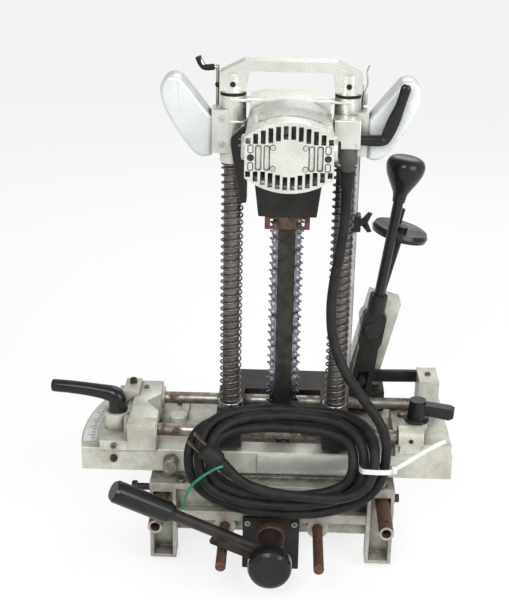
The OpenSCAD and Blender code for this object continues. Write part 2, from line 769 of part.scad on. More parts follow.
// Racetrack round the sprocket and the roller, of the given radius
module track(r) {
  translate([0, roller_z]) circle(r = r);
  translate([0, sprocket_z]) circle(r = r);
  translate([-r, roller_z]) square([r * 2, sprocket_z - roller_z]);
}
module chain() {
  run = sprocket_z - roller_z;
  round = PI * chain_r;
  pitch = 2 * (run + round) / chain_links;
  color("#7d858c") translate([carriage_x, 0, 0]) {
    translate([0, 3, 0]) rotate([90, 0, 0]) linear_extrude(6) difference() {
      track(chain_r + 2);
      track(chain_r - 2);
    }
    for (i = [0 : chain_links - 1]) {
      s = (i + 0.5) * pitch;
      turn = s < run ? 0 : s < run + round ? (s - run) / chain_r * 180 / PI
        : s < 2 * run + round ? 180 : 180 + (s - 2 * run - round) / chain_r * 180 / PI;
      z = s < run ? roller_z + s : s < run + round ? sprocket_z
        : s < 2 * run + round ? sprocket_z - (s - run - round) : roller_z;
      translate([0, 0, z]) rotate([0, turn, 0]) translate([-chain_r, 0, 0]) {
        box([-3.5, -9, -pitch / 2 + 1], [2.2, 9, pitch / 2 - 1]);
        translate([-3, 8, 0]) rotate([90, 0, 0]) linear_extrude(16)
          polygon([[0.5, -2], [-1.5, 3], [-1.5, 5.5], [0.5, 5]]);
      }
    }
  }
}
module gear(teeth, turn) {
  r = gear_module * teeth / 2;
  root = r - 2.4;
  rotate([0, 0, turn]) linear_extrude(gear_w) {
    circle(r = root);
    for (i = [0 : teeth - 1]) rotate([0, 0, i * 360 / teeth])
      polygon([[root - 1, -1.6], [root, -1.6], [r + 1.5, -0.6],
               [r + 1.5, 0.6], [root, 1.6], [root - 1, 1.6]]);
  }
}
module armature() {
  color(steel) translate([carriage_x, 0, motor_z]) {
    along_y(0, 0, -108, 32, 5);
    along_y(0, 0, -75, -36, 22);
    along_y(0, 0, -92, -78, 10);
    along_y(0, 0, -32, -27, 24);
    translate([0, gear_y + gear_w, 0]) rotate([90, 0, 0]) gear(pinion_teeth, -90 + 180 / pinion_teeth);
  }
}
module sprocket() {
  color(steel) translate([carriage_x, 0, sprocket_z]) {
    along_y(0, 0, -motor_back + 4 + gap, case_back - 4 - gap, 6);
    along_y(0, 0, -4, 4, chain_r - 2.5);
    translate([0, gear_y + gear_w, 0]) rotate([90, 0, 0]) gear(gear_teeth, 90);
  }
}
module tip_roller() {
  color(steel) translate([carriage_x, 0, roller_z]) {
    along_y(0, 0, -3.6, 3.6, chain_r - 2.5);
    along_y(0, 0, -7, 7, 3);
  }
}

// Swept tubes: rings of sides points carried along a list of points
function unit(v) = v / norm(v);
function along(p, i) = unit(p[min(i + 1, len(p) - 1)] - p[max(i - 1, 0)]);
function ring(p, i, r, sides, up) = let (t = along(p, i), u = unit(cross(up, t)), v = cross(t, u))
  [for (k = [0 : sides - 1]) p[i] + r * (cos(k * 360 / sides) * u + sin(k * 360 / sides) * v)];
module swept_tube(p, r, sides, ups) {
  n = len(p);
  points = [for (i = [0 : n - 1]) each ring(p, i, r, sides, ups[i])];
  side_faces = [for (i = [0 : n - 2], k = [0 : sides - 1]) let (a = i * sides + k,
    b = i * sides + (k + 1) % sides, c = a + sides, d = b + sides) each [[a, b, d], [a, d, c]]];
  start = [for (k = [1 : sides - 2]) [0, k + 1, k]];
  last = (n - 1) * sides;
  end = [for (k = [1 : sides - 2]) [last, last + k, last + k + 1]];
  polyhedron(points, concat(side_faces, start, end));
}
// Least distance between points of a tube that are not neighbours along it
function self_gap(p, skip, d) = min([for (i = [0 : len(p) - 1], j = [i + skip : 1 : len(p) - 1])
  norm(p[i] - p[j])]) - d;

spring_top = sleeve_z + head_lift;
spring_pitch = (spring_top - spring_z0 - 2 * wire_r - 2 * gap) / spring_turns;
function spring_points() = [for (i = [0 : spring_turns * 8])
  [spring_r * cos(i * 45), spring_r * sin(i * 45), spring_z0 + wire_r + gap + i / 8 * spring_pitch]];
module return_springs() {
  points = spring_points();
  ends = [[spring_r, -2 * wire_r, points[0][2]]];
  last = points[len(points) - 1];
  path = concat(ends, points, [[spring_r, 2 * wire_r, last[2]]]);
  echo(spring_gap = self_gap([for (i = [0 : 24]) points[i]], 5, 2 * wire_r));
  color("#57504a") for (x = col_x)
    translate([x, 0, 0]) swept_tube(path, wire_r, 6, [for (p = path) [0, 0, 1]]);
}

// Cord: free run, then a coil draped over the traverse rods and the vise front
cord_r = cord_d / 2;
run_points = [[58, -27, 402], [58, -27, 390], [58, -28, 372], [57, -30, 350], [54, -33, 325], [50, -36, 300],
  [48, -40, 275], [50, -45, 250], [57, -51, 228], [67, -57, 210], [79, -64, 195], [91, -71, 181],
  [100, -76, 166], [104, -78, 150]];
coil_step = cord_d + 0.8;
// The tail rises over the other loops, is drawn in and ends at the plug
tail_lift = 11;
tail_pull = 31;
tail_from = coil_loops - 0.8;
tail_points = [[17, -97.4, 107], [3, -97.7, 109], [-11, -98.2, 112.5], [-24.5, -98.6, 117.5],
  [-33, -98.4, 122.8], [-40, -97.7, 129]];
coil_mid = [8, -22];
drape_z = carriage_top + cord_r + 1;
drape_flat = 16;
drape_round = 38;
drape_len = 122;
// Straight part of a loop, each side of the middle
coil_flat = coil_half - drape_len / 2;
// Point on the draped sheet: w along the drape from the back, lift off it
function drape(x, w, lift) = let (arc = drape_round * PI / 2, a = (w - drape_flat) / drape_round * 180 / PI)
  w < drape_flat ? [x, coil_mid[1] - w, drape_z + lift]
  : w < drape_flat + arc ? [x, coil_mid[1] - drape_flat - (drape_round + lift) * sin(a),
      drape_z - drape_round + (drape_round + lift) * cos(a)]
  : [x, coil_mid[1] - drape_flat - drape_round - lift, drape_z - drape_round - (w - drape_flat - arc)];
function smooth(t) = t <= 0 ? 0 : t >= 1 ? 1 : t * t * (3 - 2 * t);
// Spirals in over the first half of the loops and out over the second, one layer up
function coil_point(t) = let (half = coil_loops / 2, inwards = t < half ? t : coil_loops - t,
  lift = smooth((t - half) * 2 + 0.5) * (cord_d + 0.8),
  a = -t * 360, s = cos(a), tail = smooth((t - coil_loops + 1.15) / 0.2) * tail_lift,
  rw = drape_len / 2 - inwards * coil_step - smooth((t - coil_loops + 1.05) / 0.35) * tail_pull)
  drape(coil_mid[0] + coil_flat * s * (3 - s * s) / 2 + rw * cos(a),
        drape_len / 2 - rw * sin(a), lift + tail);
coil_path = concat([for (i = [0 : round(tail_from * 24)]) coil_point(i / 24)], tail_points);
run_path = concat(run_points, [coil_path[0]]);
module cord_run() {
  color(black) swept_tube(run_path, cord_r, 8, [for (p = run_path) [0, 1, 0.2]]);
}
module cord_coil() {
  echo(coil_gap = self_gap(coil_path, 12, cord_d));
  color(black) swept_tube(coil_path, cord_r, 6, [for (p = coil_path) [0.02, 0.6, 1]]);
}
module cord_plug() {
  n = len(coil_path);
  way = unit(coil_path[n - 1] - coil_path[n - 2]);
  color(black) translate(coil_path[n - 1]) rotate([0, acos(way[2]), atan2(way[1], way[0])]) {
    cylinder(r1 = cord_r + 0.4, r2 = 7, h = 16);
    translate([0, 0, 16]) cylinder(r = 9, h = 20);
    for (side = [-1, 1]) translate([side * 5, 0, 36]) box([-0.8, -3, 0], [0.8, 3, 17]);
  }
}

module place() {
  translate([-box_x, -box_y, 0]) children();
}
module on_vise() {
  translate([vise_x, 0, 0]) children();
}
module on_head() {
  translate([0, 0, head_lift]) children();
}

place() base_plate();
place() on_vise() vise_frame();
place() rear_jaw();
place() on_vise() thrust_plate();
place() on_vise() thrust_plate_screws();
place() on_vise() vise_collar();
place() on_vise() jaw_plate();
place() on_vise() guide_tubes();
place() on_vise() guide_rods();
place() on_vise() clamp_screw();
place() on_vise() vise_lever();
place() on_vise() vise_grip();
place() on_vise() vise_knob();
place() left_block();
place() right_block();
place() traverse_rods();
place() reaction_arm();
place() left_lock_stud();
place() right_lock_stud();
place() left_lock_lever();
place() right_lock_lever();
place() index_screws();
place() carriage();
place() columns();
place() spring_collars();
place() return_springs();
place() carry_handle();
place() handle_screws();
place() lever_bracket();
place() lever_pin();
place() depth_rod();
place() stop_block();
place() wing_bolt();
place() lever_arm();
place() lever_rod();
place() lever_knob();
place() lock_spindle();
place() lock_wheel();
place() on_head() head_frame();
place() on_head() motor_housing();
place() on_head() motor_cover();
place() on_head() cover_screws();
place() on_head() brush_caps();
place() on_head() switch_box();
place() on_head() cord_guard();
place() on_head() switch_lever();
place() on_head() left_grip();
place() on_head() right_grip();
place() on_head() cord_hooks();
place() on_head() chip_deflector();
place() on_head() chain_cover();
place() on_head() chain_guard();
place() on_head() chain_bar();
place() on_head() chain();
place() on_head() armature();
place() on_head() sprocket();
place() on_head() tip_roller();
place() cord_run();
place() cord_coil();
place() cord_plug();
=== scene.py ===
"""Dresses the chain mortiser: paint, rust, springs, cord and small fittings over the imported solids."""
import json
import math

import bmesh
import bpy
from mathutils import Matrix, Vector


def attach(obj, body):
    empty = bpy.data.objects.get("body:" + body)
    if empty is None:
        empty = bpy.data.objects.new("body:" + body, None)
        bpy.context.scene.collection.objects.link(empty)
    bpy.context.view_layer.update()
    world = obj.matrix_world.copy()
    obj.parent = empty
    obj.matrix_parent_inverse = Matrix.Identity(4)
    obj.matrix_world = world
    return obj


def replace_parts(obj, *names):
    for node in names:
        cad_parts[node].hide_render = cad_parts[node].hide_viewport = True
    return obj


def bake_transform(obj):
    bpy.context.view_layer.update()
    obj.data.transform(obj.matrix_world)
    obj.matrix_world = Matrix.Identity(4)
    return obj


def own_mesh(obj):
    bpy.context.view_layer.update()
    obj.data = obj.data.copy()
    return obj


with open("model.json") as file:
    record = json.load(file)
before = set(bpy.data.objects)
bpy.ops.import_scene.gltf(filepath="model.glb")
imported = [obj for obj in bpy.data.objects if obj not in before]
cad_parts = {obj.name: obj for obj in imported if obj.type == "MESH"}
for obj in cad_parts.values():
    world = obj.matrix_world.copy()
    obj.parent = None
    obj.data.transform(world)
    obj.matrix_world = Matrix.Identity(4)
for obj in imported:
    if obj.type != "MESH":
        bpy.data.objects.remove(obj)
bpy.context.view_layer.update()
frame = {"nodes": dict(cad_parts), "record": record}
scene = bpy.context.scene
NODES = frame["nodes"]
RECORD = frame["record"]
BODY_OF = {node: body for body, nodes in RECORD["behaviour"]["bodies"].items() for node in nodes}

# Sizes below are millimetres from the swivel axis, the column plane and the floor
MM = 0.001
SHIFT = Vector((25.0, 19.4, 0.0))
CARRIAGE_X = 5.0
COLUMN_X = (-47.0, 57.0)
CARRIAGE_TOP = 150.0
SLEEVE_HIGH = 464.0
HANDLE_LOW = 467.0
MOTOR_Z = 435.0
MOTOR_FRONT = -117.0
BASE_HIGH = 122.0


def at(x, y, z):
    """A point of the working frame in metres of the row frame."""
    return (Vector((x, y, z)) + SHIFT) * MM


# Shader groups


def shader_group(name, inputs, outputs):
    tree = bpy.data.node_groups.new(name, "ShaderNodeTree")
    for label, value in inputs:
        tree.interface.new_socket(label, in_out="INPUT", socket_type="NodeSocketFloat").default_value = value
    for label, kind in outputs:
        tree.interface.new_socket(label, in_out="OUTPUT", socket_type=kind)
    return tree, tree.nodes.new("NodeGroupInput"), tree.nodes.new("NodeGroupOutput")


def noise_node(tree, scale, detail, roughness=0.6):
    """Noise on Object coordinates; scale is a socket or a number."""
    where = tree.nodes.new("ShaderNodeTexCoord")
    noise = tree.nodes.new("ShaderNodeTexNoise")
    noise.inputs["Detail"].default_value = detail
    noise.inputs["Roughness"].default_value = roughness
    tree.links.new(where.outputs["Object"], noise.inputs["Vector"])
    if isinstance(scale, (int, float)):
        noise.inputs["Scale"].default_value = scale
    else:
        tree.links.new(scale, noise.inputs["Scale"])
    return noise.outputs["Fac"]


def math_node(tree, operation, first, second=None, clamp=False):
    node = tree.nodes.new("ShaderNodeMath")
    node.operation = operation
    node.use_clamp = clamp
    for socket, value in zip(node.inputs, (first, second)):
        if value is None:
            continue
        if isinstance(value, (int, float)):
            socket.default_value = value
        else:
            tree.links.new(value, socket)
    return node.outputs[0]


def span_node(tree, value, low, high):
    """Takes low..high of a value to 0..1, smoothly."""
    node = tree.nodes.new("ShaderNodeMapRange")
    node.interpolation_type = "SMOOTHSTEP"
    node.inputs["From Min"].default_value = low
    node.inputs["From Max"].default_value = high
    tree.links.new(value, node.inputs["Value"])
    return node.outputs["Result"]


def mix_colour(tree, mask, first, second):
    node = tree.nodes.new("ShaderNodeMix")
    node.data_type = "RGBA"
    tree.links.new(mask, node.inputs["Factor"])
    for socket, value in ((node.inputs["A"], first), (node.inputs["B"], second)):
        if isinstance(value, tuple):
            socket.default_value = (*value, 1.0)
        else:
            tree.links.new(value, socket)
    return node.outputs["Result"]


def build_mottle():
    tree, inlet, outlet = shader_group("Mottle", [("Scale", 40.0)],
                                       [("Mask", "NodeSocketFloat"), ("Fine", "NodeSocketFloat")])
    broad = noise_node(tree, inlet.outputs["Scale"], 5.0)
    fine = noise_node(tree, math_node(tree, "MULTIPLY", inlet.outputs["Scale"], 14.0), 3.0)
    tree.links.new(span_node(tree, broad, 0.36, 0.66), outlet.inputs["Mask"])
    tree.links.new(fine, outlet.inputs["Fine"])
    return tree


def build_edge_wear_and_highlight():
    tree, inlet, outlet = shader_group("Edge wear and highlight", [("Width", 0.0015), ("Amount", 1.0)],
                                       [("Mask", "NodeSocketFloat")])
    # Edge mask for chipped wear; with a light edge colour it also paints highlights on the edges.
    bevel = tree.nodes.new("ShaderNodeBevel")
    bevel.samples = 4
    tree.links.new(inlet.outputs["Width"], bevel.inputs["Radius"])
    facing = tree.nodes.new("ShaderNodeNewGeometry")
    dot = tree.nodes.new("ShaderNodeVectorMath")
    dot.operation = "DOT_PRODUCT"
    tree.links.new(bevel.outputs["Normal"], dot.inputs[0])
    tree.links.new(facing.outputs["Normal"], dot.inputs[1])
    edge = math_node(tree, "SUBTRACT", 1.0, dot.outputs["Value"])
    edge = span_node(tree, edge, 0.015, 0.12)
    chips = span_node(tree, noise_node(tree, 190.0, 4.0), 0.47, 0.6)
    edge_mark = math_node(tree, "MULTIPLY", edge, chips)
    tree.links.new(math_node(tree, "MULTIPLY", edge_mark, inlet.outputs["Amount"], True), outlet.inputs["Mask"])
    return tree


def build_grime_and_shade():
    tree, inlet, outlet = shader_group("Grime and shade", [("Reach", 0.012), ("Amount", 1.0)], [("Mask", "NodeSocketFloat")])
    # Ambient occlusion darkens corners: painted shade, broken up by a smear noise, plus fine specks of grime
    # everywhere.
    shade = tree.nodes.new("ShaderNodeAmbientOcclusion")
    shade.samples = 6
    tree.links.new(inlet.outputs["Reach"], shade.inputs["Distance"])
    corner = math_node(tree, "SUBTRACT", 1.0, shade.outputs["AO"])
    corner = span_node(tree, corner, 0.12, 0.75)
    smear = span_node(tree, noise_node(tree, 60.0, 6.0, 0.7), 0.28, 0.62)
    specks = span_node(tree, noise_node(tree, 420.0, 2.0), 0.66, 0.74)
    grime_and_shade = math_node(tree, "MULTIPLY", corner, smear)
    grime_and_shade = math_node(tree, "ADD", grime_and_shade, math_node(tree, "MULTIPLY", specks, 0.35))
    tree.links.new(math_node(tree, "MULTIPLY", grime_and_shade, inlet.outputs["Amount"], True), outlet.inputs["Mask"])
    return tree


def build_rust():
    tree, inlet, outlet = shader_group("Rust", [("Scale", 55.0), ("Amount", 0.5)],
                                       [("Mask", "NodeSocketFloat"), ("Colour", "NodeSocketColor")])
    spread = noise_node(tree, inlet.outputs["Scale"], 7.0, 0.68)
    start = math_node(tree, "SUBTRACT", 1.0, inlet.outputs["Amount"])
    over = math_node(tree, "SUBTRACT", spread, math_node(tree, "MULTIPLY", start, 0.75))
    tree.links.new(span_node(tree, over, 0.02, 0.2), outlet.inputs["Mask"])
    shade = span_node(tree, noise_node(tree, 240.0, 4.0), 0.35, 0.68)
    tree.links.new(mix_colour(tree, shade, (0.05, 0.026, 0.017), (0.13, 0.06, 0.032)), outlet.inputs["Colour"])
    return tree


MOTTLE, EDGE_WEAR_AND_HIGHLIGHT, GRIME_AND_SHADE, RUST = build_mottle(), build_edge_wear_and_highlight(), build_grime_and_shade(), build_rust()


def finish(name, colour, second, roughness, metallic=0.0, scale=40.0, grime_and_shade=0.0, grime_and_shade_colour=(0.05, 0.042, 0.033),
           wear=0.0, bare=(0.42, 0.41, 0.39), rust=0.0, rust_scale=55.0, bump=0.15, coat=0.0, specular=0.5):
    """A procedural finish: mottled colour, painted shade in corners with specks of grime, rust patches, and edges
    lightened by chipping and painted highlights.
    """
    material = bpy.data.materials.new(name)
    material.use_nodes = True
    tree = material.node_tree
    shader = tree.nodes["Principled BSDF"]

    def place(group, **values):
        node = tree.nodes.new("ShaderNodeGroup")
        node.node_tree = group
        for label, value in values.items():
            node.inputs[label].default_value = value
        return node.outputs

    mottle = place(MOTTLE, Scale=scale)
    tint = mix_colour(tree, mottle["Mask"], colour, second)
    rough = math_node(tree, "MULTIPLY_ADD", mottle["Mask"], roughness * 0.3)
    rough.node.inputs[2].default_value = roughness * 0.85
    metal = None
    if grime_and_shade:
        # Painted shade in corners from ambient occlusion, with specks of grime, mixed into the colour.
        shade_and_grime_mask = place(GRIME_AND_SHADE, Amount=grime_and_shade)["Mask"]
        tint = mix_colour(tree, shade_and_grime_mask, tint, grime_and_shade_colour)
        rough = math_node(tree, "ADD", rough, math_node(tree, "MULTIPLY", shade_and_grime_mask, 0.3), True)
    if rust:
        patch = place(RUST, Scale=rust_scale, Amount=rust)
        tint = mix_colour(tree, patch["Mask"], tint, patch["Colour"])
        rough = math_node(tree, "ADD", rough, math_node(tree, "MULTIPLY", patch["Mask"], 0.35), True)
        clean = math_node(tree, "SUBTRACT", 1.0, patch["Mask"])
        metal = math_node(tree, "MULTIPLY", clean, metallic)
    if wear:
        edge = place(EDGE_WEAR_AND_HIGHLIGHT, Amount=wear)["Mask"]
        # A light edge colour here paints highlights on the edges as well as chipped wear.
        tint = mix_colour(tree, edge, tint, bare)
        metal = math_node(tree, "MAXIMUM", edge, metallic if metal is None else metal)
    tree.links.new(tint, shader.inputs["Base Color"])
    tree.links.new(rough, shader.inputs["Roughness"])
    if metal is None:
        shader.inputs["Metallic"].default_value = metallic
    else:
        tree.links.new(metal, shader.inputs["Metallic"])
    shader.inputs["Specular IOR Level"].default_value = specular
    if coat:
        shader.inputs["Coat Weight"].default_value = coat
        shader.inputs["Coat Roughness"].default_value = 0.12
    relief = tree.nodes.new("ShaderNodeBump")
    relief.inputs["Strength"].default_value = bump
    relief.inputs["Distance"].default_value = 0.0006
    tree.links.new(mottle["Fine"], relief.inputs["Height"])
    tree.links.new(relief.outputs["Normal"], shader.inputs["Normal"])
    return material


# Light edge colour at a high amount: painted highlights on the cream casting's edges, with chipped wear.
CREAM_CASTING = finish("cream_casting", (0.57, 0.565, 0.495), (0.41, 0.402, 0.34), 0.4, 0.2, 45.0, 1.0, wear=0.8,
                       bare=(0.74, 0.74, 0.69), rust=0.16, bump=0.3)
WHITE_CASTING = finish("white_casting", (0.71, 0.72, 0.665), (0.58, 0.585, 0.53), 0.3, 0.6, 35.0, 0.9, wear=0.35,
                       bump=0.22)
GRIP_PAINT = finish("grip_paint", (0.68, 0.71, 0.7), (0.57, 0.595, 0.585), 0.34, 0.15, 22.0, 0.7, wear=0.3, bump=0.15)
# Light edge colour at a high amount: painted highlights on the vise's edges, with chipped wear.
VISE_CASTING = finish("vise_casting", (0.43, 0.425, 0.37), (0.27, 0.258, 0.22), 0.45, 0.2, 50.0, 1.0, wear=0.9,
                      bare=(0.72, 0.72, 0.67), rust=0.24, bump=0.4)
BLACK_ENAMEL = finish("black_enamel", (0.009, 0.009, 0.0095), (0.014, 0.0135, 0.0135), 0.27, 0.0, 30.0, 0.25,
                      (0.06, 0.055, 0.05), 0.35, (0.12, 0.11, 0.105), bump=0.08, coat=0.1,
                      specular=0.25)
BLACK_CAST = finish("black_cast", (0.014, 0.014, 0.014), (0.025, 0.023, 0.021), 0.45, 0.0, 60.0, 0.5,
                    (0.06, 0.052, 0.043), 0.6, (0.2, 0.19, 0.18), rust=0.16, bump=0.35, specular=0.2)
RUSTED_ENAMEL = finish("rusted_enamel", (0.017, 0.015, 0.014), (0.032, 0.024, 0.02), 0.42, 0.1, 60.0, 0.5,
                       (0.08, 0.06, 0.045), 0.5, (0.2, 0.18, 0.16), rust=0.26, rust_scale=70.0, bump=0.35, specular=0.3)
COLUMN_STEEL = finish("column_steel", (0.17, 0.155, 0.14), (0.11, 0.094, 0.08), 0.42, 0.7, 60.0, rust=0.25, bump=0.2)
GROUND_STEEL = finish("ground_steel", (0.5, 0.49, 0.47), (0.36, 0.345, 0.33), 0.3, 1.0, 70.0, 0.6, rust=0.3,
                      bump=0.12)
RUSTED_STEEL = finish("rusted_steel", (0.15, 0.098, 0.08), (0.085, 0.047, 0.036), 0.46, 0.6, 60.0, 0.6, rust=0.6,
                      rust_scale=90.0, bump=0.5)
TRAVERSE_STEEL = finish("traverse_steel", (0.36, 0.345, 0.32), (0.2, 0.175, 0.15), 0.4, 0.9, 80.0, 0.6, rust=0.42,
                        bump=0.2)
SPRING_STEEL = finish("spring_steel", (0.2, 0.185, 0.17), (0.12, 0.105, 0.09), 0.36, 0.9, 90.0, bump=0.1)
RIVET_STEEL = finish("rivet_steel", (0.56, 0.57, 0.62), (0.4, 0.4, 0.43), 0.28, 1.0, 160.0, 0.4, bump=0.05)
CHAIN_STEEL = finish("chain_steel", (0.24, 0.245, 0.29), (0.11, 0.11, 0.13), 0.3, 1.0, 160.0, 0.8, wear=0.5,
                     bare=(0.62, 0.64, 0.68), bump=0.15)
BAR_STEEL = finish("bar_steel", (0.05, 0.045, 0.038), (0.026, 0.023, 0.02), 0.42, 0.7, 80.0, wear=0.4, bump=0.2)
SCREW_STEEL = finish("screw_steel", (0.34, 0.31, 0.28), (0.2, 0.17, 0.145), 0.4, 0.9, 120.0, 0.7, rust=0.3, bump=0.2)
RUBBER = finish("rubber", (0.01, 0.01, 0.0105), (0.02, 0.0197, 0.0195), 0.5, 0.0, 90.0, 0.3, (0.08, 0.075, 0.07),
                bump=0.25, specular=0.18)
GUARD_RUBBER = finish("guard_rubber", (0.075, 0.07, 0.063), (0.05, 0.046, 0.042), 0.6, 0.0, 80.0, 0.5, bump=0.3)
NYLON = finish("nylon", (0.72, 0.72, 0.7), (0.62, 0.61, 0.58), 0.4, 0.0, 80.0, 0.3, bump=0.05)
BRASS = finish("brass", (0.2, 0.155, 0.09), (0.11, 0.085, 0.05), 0.42, 1.0, 150.0, 0.5, bump=0.1)
PLATE_ALLOY = finish("plate_alloy", (0.56, 0.56, 0.53), (0.46, 0.455, 0.42), 0.3, 0.35, 40.0, 0.8, bump=0.1)
EARTH_GREEN = finish("earth_green", (0.012, 0.24, 0.115), (0.01, 0.17, 0.085), 0.42, 0.0, 120.0, 0.3, bump=0.08)
TICK_INK = finish("tick_ink", (0.03, 0.03, 0.03), (0.06, 0.055, 0.05), 0.6, bump=0.05)

# Making pieces


def piece(bm, name, body, material, crease=32.0):
    mesh = bpy.data.meshes.new(name)
    bm.to_mesh(mesh)
    bm.free()
    return dress(mesh, name, body, material, crease)


def dress(mesh, name, body, material, crease=32.0):
    mesh.materials.clear()
    mesh.materials.append(material)
    mesh.shade_smooth()
    mesh.set_sharp_from_angle(angle=math.radians(crease))
    obj = bpy.data.objects.new(name, mesh)
    scene.collection.objects.link(obj)
    if body:
        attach(obj, body)
    return obj


def soften(node, width, material, segments=2):
    """A copy of a CAD node with rounded edges stands for the node."""
    bm = bmesh.new()
    bm.from_mesh(NODES[node].data)
    bmesh.ops.remove_doubles(bm, verts=bm.verts, dist=1e-5)
    bmesh.ops.dissolve_limit(bm, angle_limit=math.radians(0.4), verts=bm.verts, edges=bm.edges)
    bmesh.ops.triangulate(bm, faces=bm.faces)
    obj = piece(bm, node + "_dressed", BODY_OF[node], material)
    bevel = obj.modifiers.new("rounded", "BEVEL")
    bevel.width = width * MM
    bevel.segments = segments
    bevel.limit_method = "ANGLE"
    bevel.angle_limit = math.radians(34.0)
    bevel.loop_slide = False
    obj.modifiers.new("shading", "WEIGHTED_NORMAL").keep_sharp = True
    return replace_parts(obj, node)


def tube(points, radius, sides=4, cyclic=False):
    """A round tube mesh along points in metres."""
    curve = bpy.data.curves.new("tube", "CURVE")
    curve.dimensions = "3D"
    curve.bevel_depth = radius * MM
    curve.bevel_resolution = sides
    curve.use_fill_caps = True
    spline = curve.splines.new("POLY")
    spline.points.add(len(points) - 1)
    for node, p in zip(spline.points, points):
        node.co = (*p, 1.0)
    spline.use_cyclic_u = cyclic
    holder = bpy.data.objects.new("tube", curve)
    scene.collection.objects.link(holder)
    bpy.context.view_layer.update()
    mesh = bpy.data.meshes.new_from_object(holder.evaluated_get(bpy.context.evaluated_depsgraph_get()))
    bpy.data.objects.remove(holder)
    bpy.data.curves.remove(curve)
    return mesh


def turned(bm, profile, origin, axis, steps=32, closed=False):
    """Adds a profile of (radius, height) turned about an axis through origin; an open one ends on the axis."""
    turn = Vector((0, 0, 1)).rotation_difference(Vector(axis)).to_matrix()
    verts = [bm.verts.new(origin + turn @ Vector((r, 0, h)) * MM) for r, h in profile]
    edges = [bm.edges.new(pair) for pair in zip(verts, verts[1:] + (verts[:1] if closed else []))]
    bmesh.ops.spin(bm, geom=verts + edges, cent=origin, axis=Vector(axis), angle=math.tau, steps=steps, use_merge=True)
    bmesh.ops.remove_doubles(bm, verts=bm.verts, dist=1e-6)
    bmesh.ops.recalc_face_normals(bm, faces=bm.faces)


def slab(bm, low, high, bevel=0.4, turn=None):
    """Adds a box between two corners of the working frame, with rounded edges."""
    size = Vector(high) - Vector(low)
    middle = at(*(Vector(low) + size / 2))
    place = Matrix.Translation(middle) @ (turn or Matrix()) @ Matrix.Diagonal((*(size * MM), 1.0))
    made = bmesh.ops.create_cube(bm, size=1.0, matrix=place)
    edges = list({e for v in made["verts"] for e in v.link_edges})
    bmesh.ops.bevel(bm, geom=edges, offset=bevel * MM, affect="EDGES", segments=2, profile=0.5, material=-1)


def swept(bm, points, sizes, side, power=2.4, steps=20, open_start=False):
    """Adds a rounded bar along points, with its half sizes across and up in millimetres at each."""
    points, sizes = smooth_path(points, 4), smooth_path([Vector(size) for size in sizes], 4)
    rings = []
    for i, (p, size) in enumerate(zip(points, sizes)):
        up = (points[min(i + 1, len(points) - 1)] - points[max(i - 1, 0)]).normalized().cross(side)
        ring = []
        for k in range(steps):
            c, s = math.cos(math.tau * k / steps), math.sin(math.tau * k / steps)
            u, v = (math.copysign(abs(t) ** (2 / power), t) * h for t, h in zip((c, s), size))
            ring.append(bm.verts.new(p + (side * u + up * v) * MM))
        rings.append(ring)
    for a, b in zip(rings, rings[1:]):
        for k in range(steps):
            bm.faces.new((a[k], a[k - 1], b[k - 1], b[k]))
    for ring in rings[-1:] if open_start else (rings[0], rings[-1]):
        bm.faces.new(ring)
    bmesh.ops.recalc_face_normals(bm, faces=bm.faces)


def smooth_path(points, steps=8):
    """Catmull-Rom line through points."""
    out = []
    for i in range(len(points) - 1):
        a, b, c, d = (points[max(i - 1, 0)], points[i], points[i + 1], points[min(i + 2, len(points) - 1)])
        for k in range(steps):
            t = k / steps
            out.append(0.5 * (2 * b + (c - a) * t + (2 * a - 5 * b + 4 * c - d) * t * t
                              + (3 * b - a - 3 * c + d) * t ** 3))
    return out + [points[-1]]


# Cord: free run from the guard, then a coil draped over the carriage and the vise front

CORD_D = 9.5
CORD_RUN = [(0.058, -0.027, 0.402), (0.058, -0.027, 0.39), (0.058, -0.028, 0.372), (0.057, -0.03, 0.35),
            (0.054, -0.033, 0.325), (0.05, -0.036, 0.3), (0.048, -0.04, 0.275), (0.05, -0.045, 0.25),
            (0.057, -0.051, 0.228), (0.067, -0.057, 0.21), (0.079, -0.064, 0.195), (0.091, -0.071, 0.181),
            (0.1, -0.076, 0.166), (0.104, -0.078, 0.15)]
COIL_LOOPS, TAIL_FROM = 6, 5.2
COIL_HALF, COIL_STEP = 96.0, CORD_D + 0.8
TAIL_LIFT, TAIL_PULL = 11.0, 31.0
TAIL = [(0.017, -0.0974, 0.107), (0.003, -0.0977, 0.109), (-0.011, -0.0982, 0.1125), (-0.0245, -0.0986, 0.1175),
        (-0.033, -0.0984, 0.1228), (-0.04, -0.0977, 0.129)]
COIL_X, COIL_Y = 8.0, -22.0
DRAPE_Z = CARRIAGE_TOP + CORD_D / 2 + 1.0
DRAPE_FLAT, DRAPE_ROUND, DRAPE_LEN = 16.0, 38.0, 122.0


def ease(t):
    t = min(max(t, 0.0), 1.0)
    return t * t * (3 - 2 * t)


def drape(x, w, lift):
    """A point w along the draped sheet from its back edge, lifted off it."""
    arc = DRAPE_ROUND * math.pi / 2
    if w < DRAPE_FLAT:
        return at(x, COIL_Y - w, DRAPE_Z + lift)
    if w < DRAPE_FLAT + arc:
        a = (w - DRAPE_FLAT) / DRAPE_ROUND
        return at(x, COIL_Y - DRAPE_FLAT - (DRAPE_ROUND + lift) * math.sin(a),
                  DRAPE_Z - DRAPE_ROUND + (DRAPE_ROUND + lift) * math.cos(a))
    return at(x, COIL_Y - DRAPE_FLAT - DRAPE_ROUND - lift, DRAPE_Z - DRAPE_ROUND - (w - DRAPE_FLAT - arc))


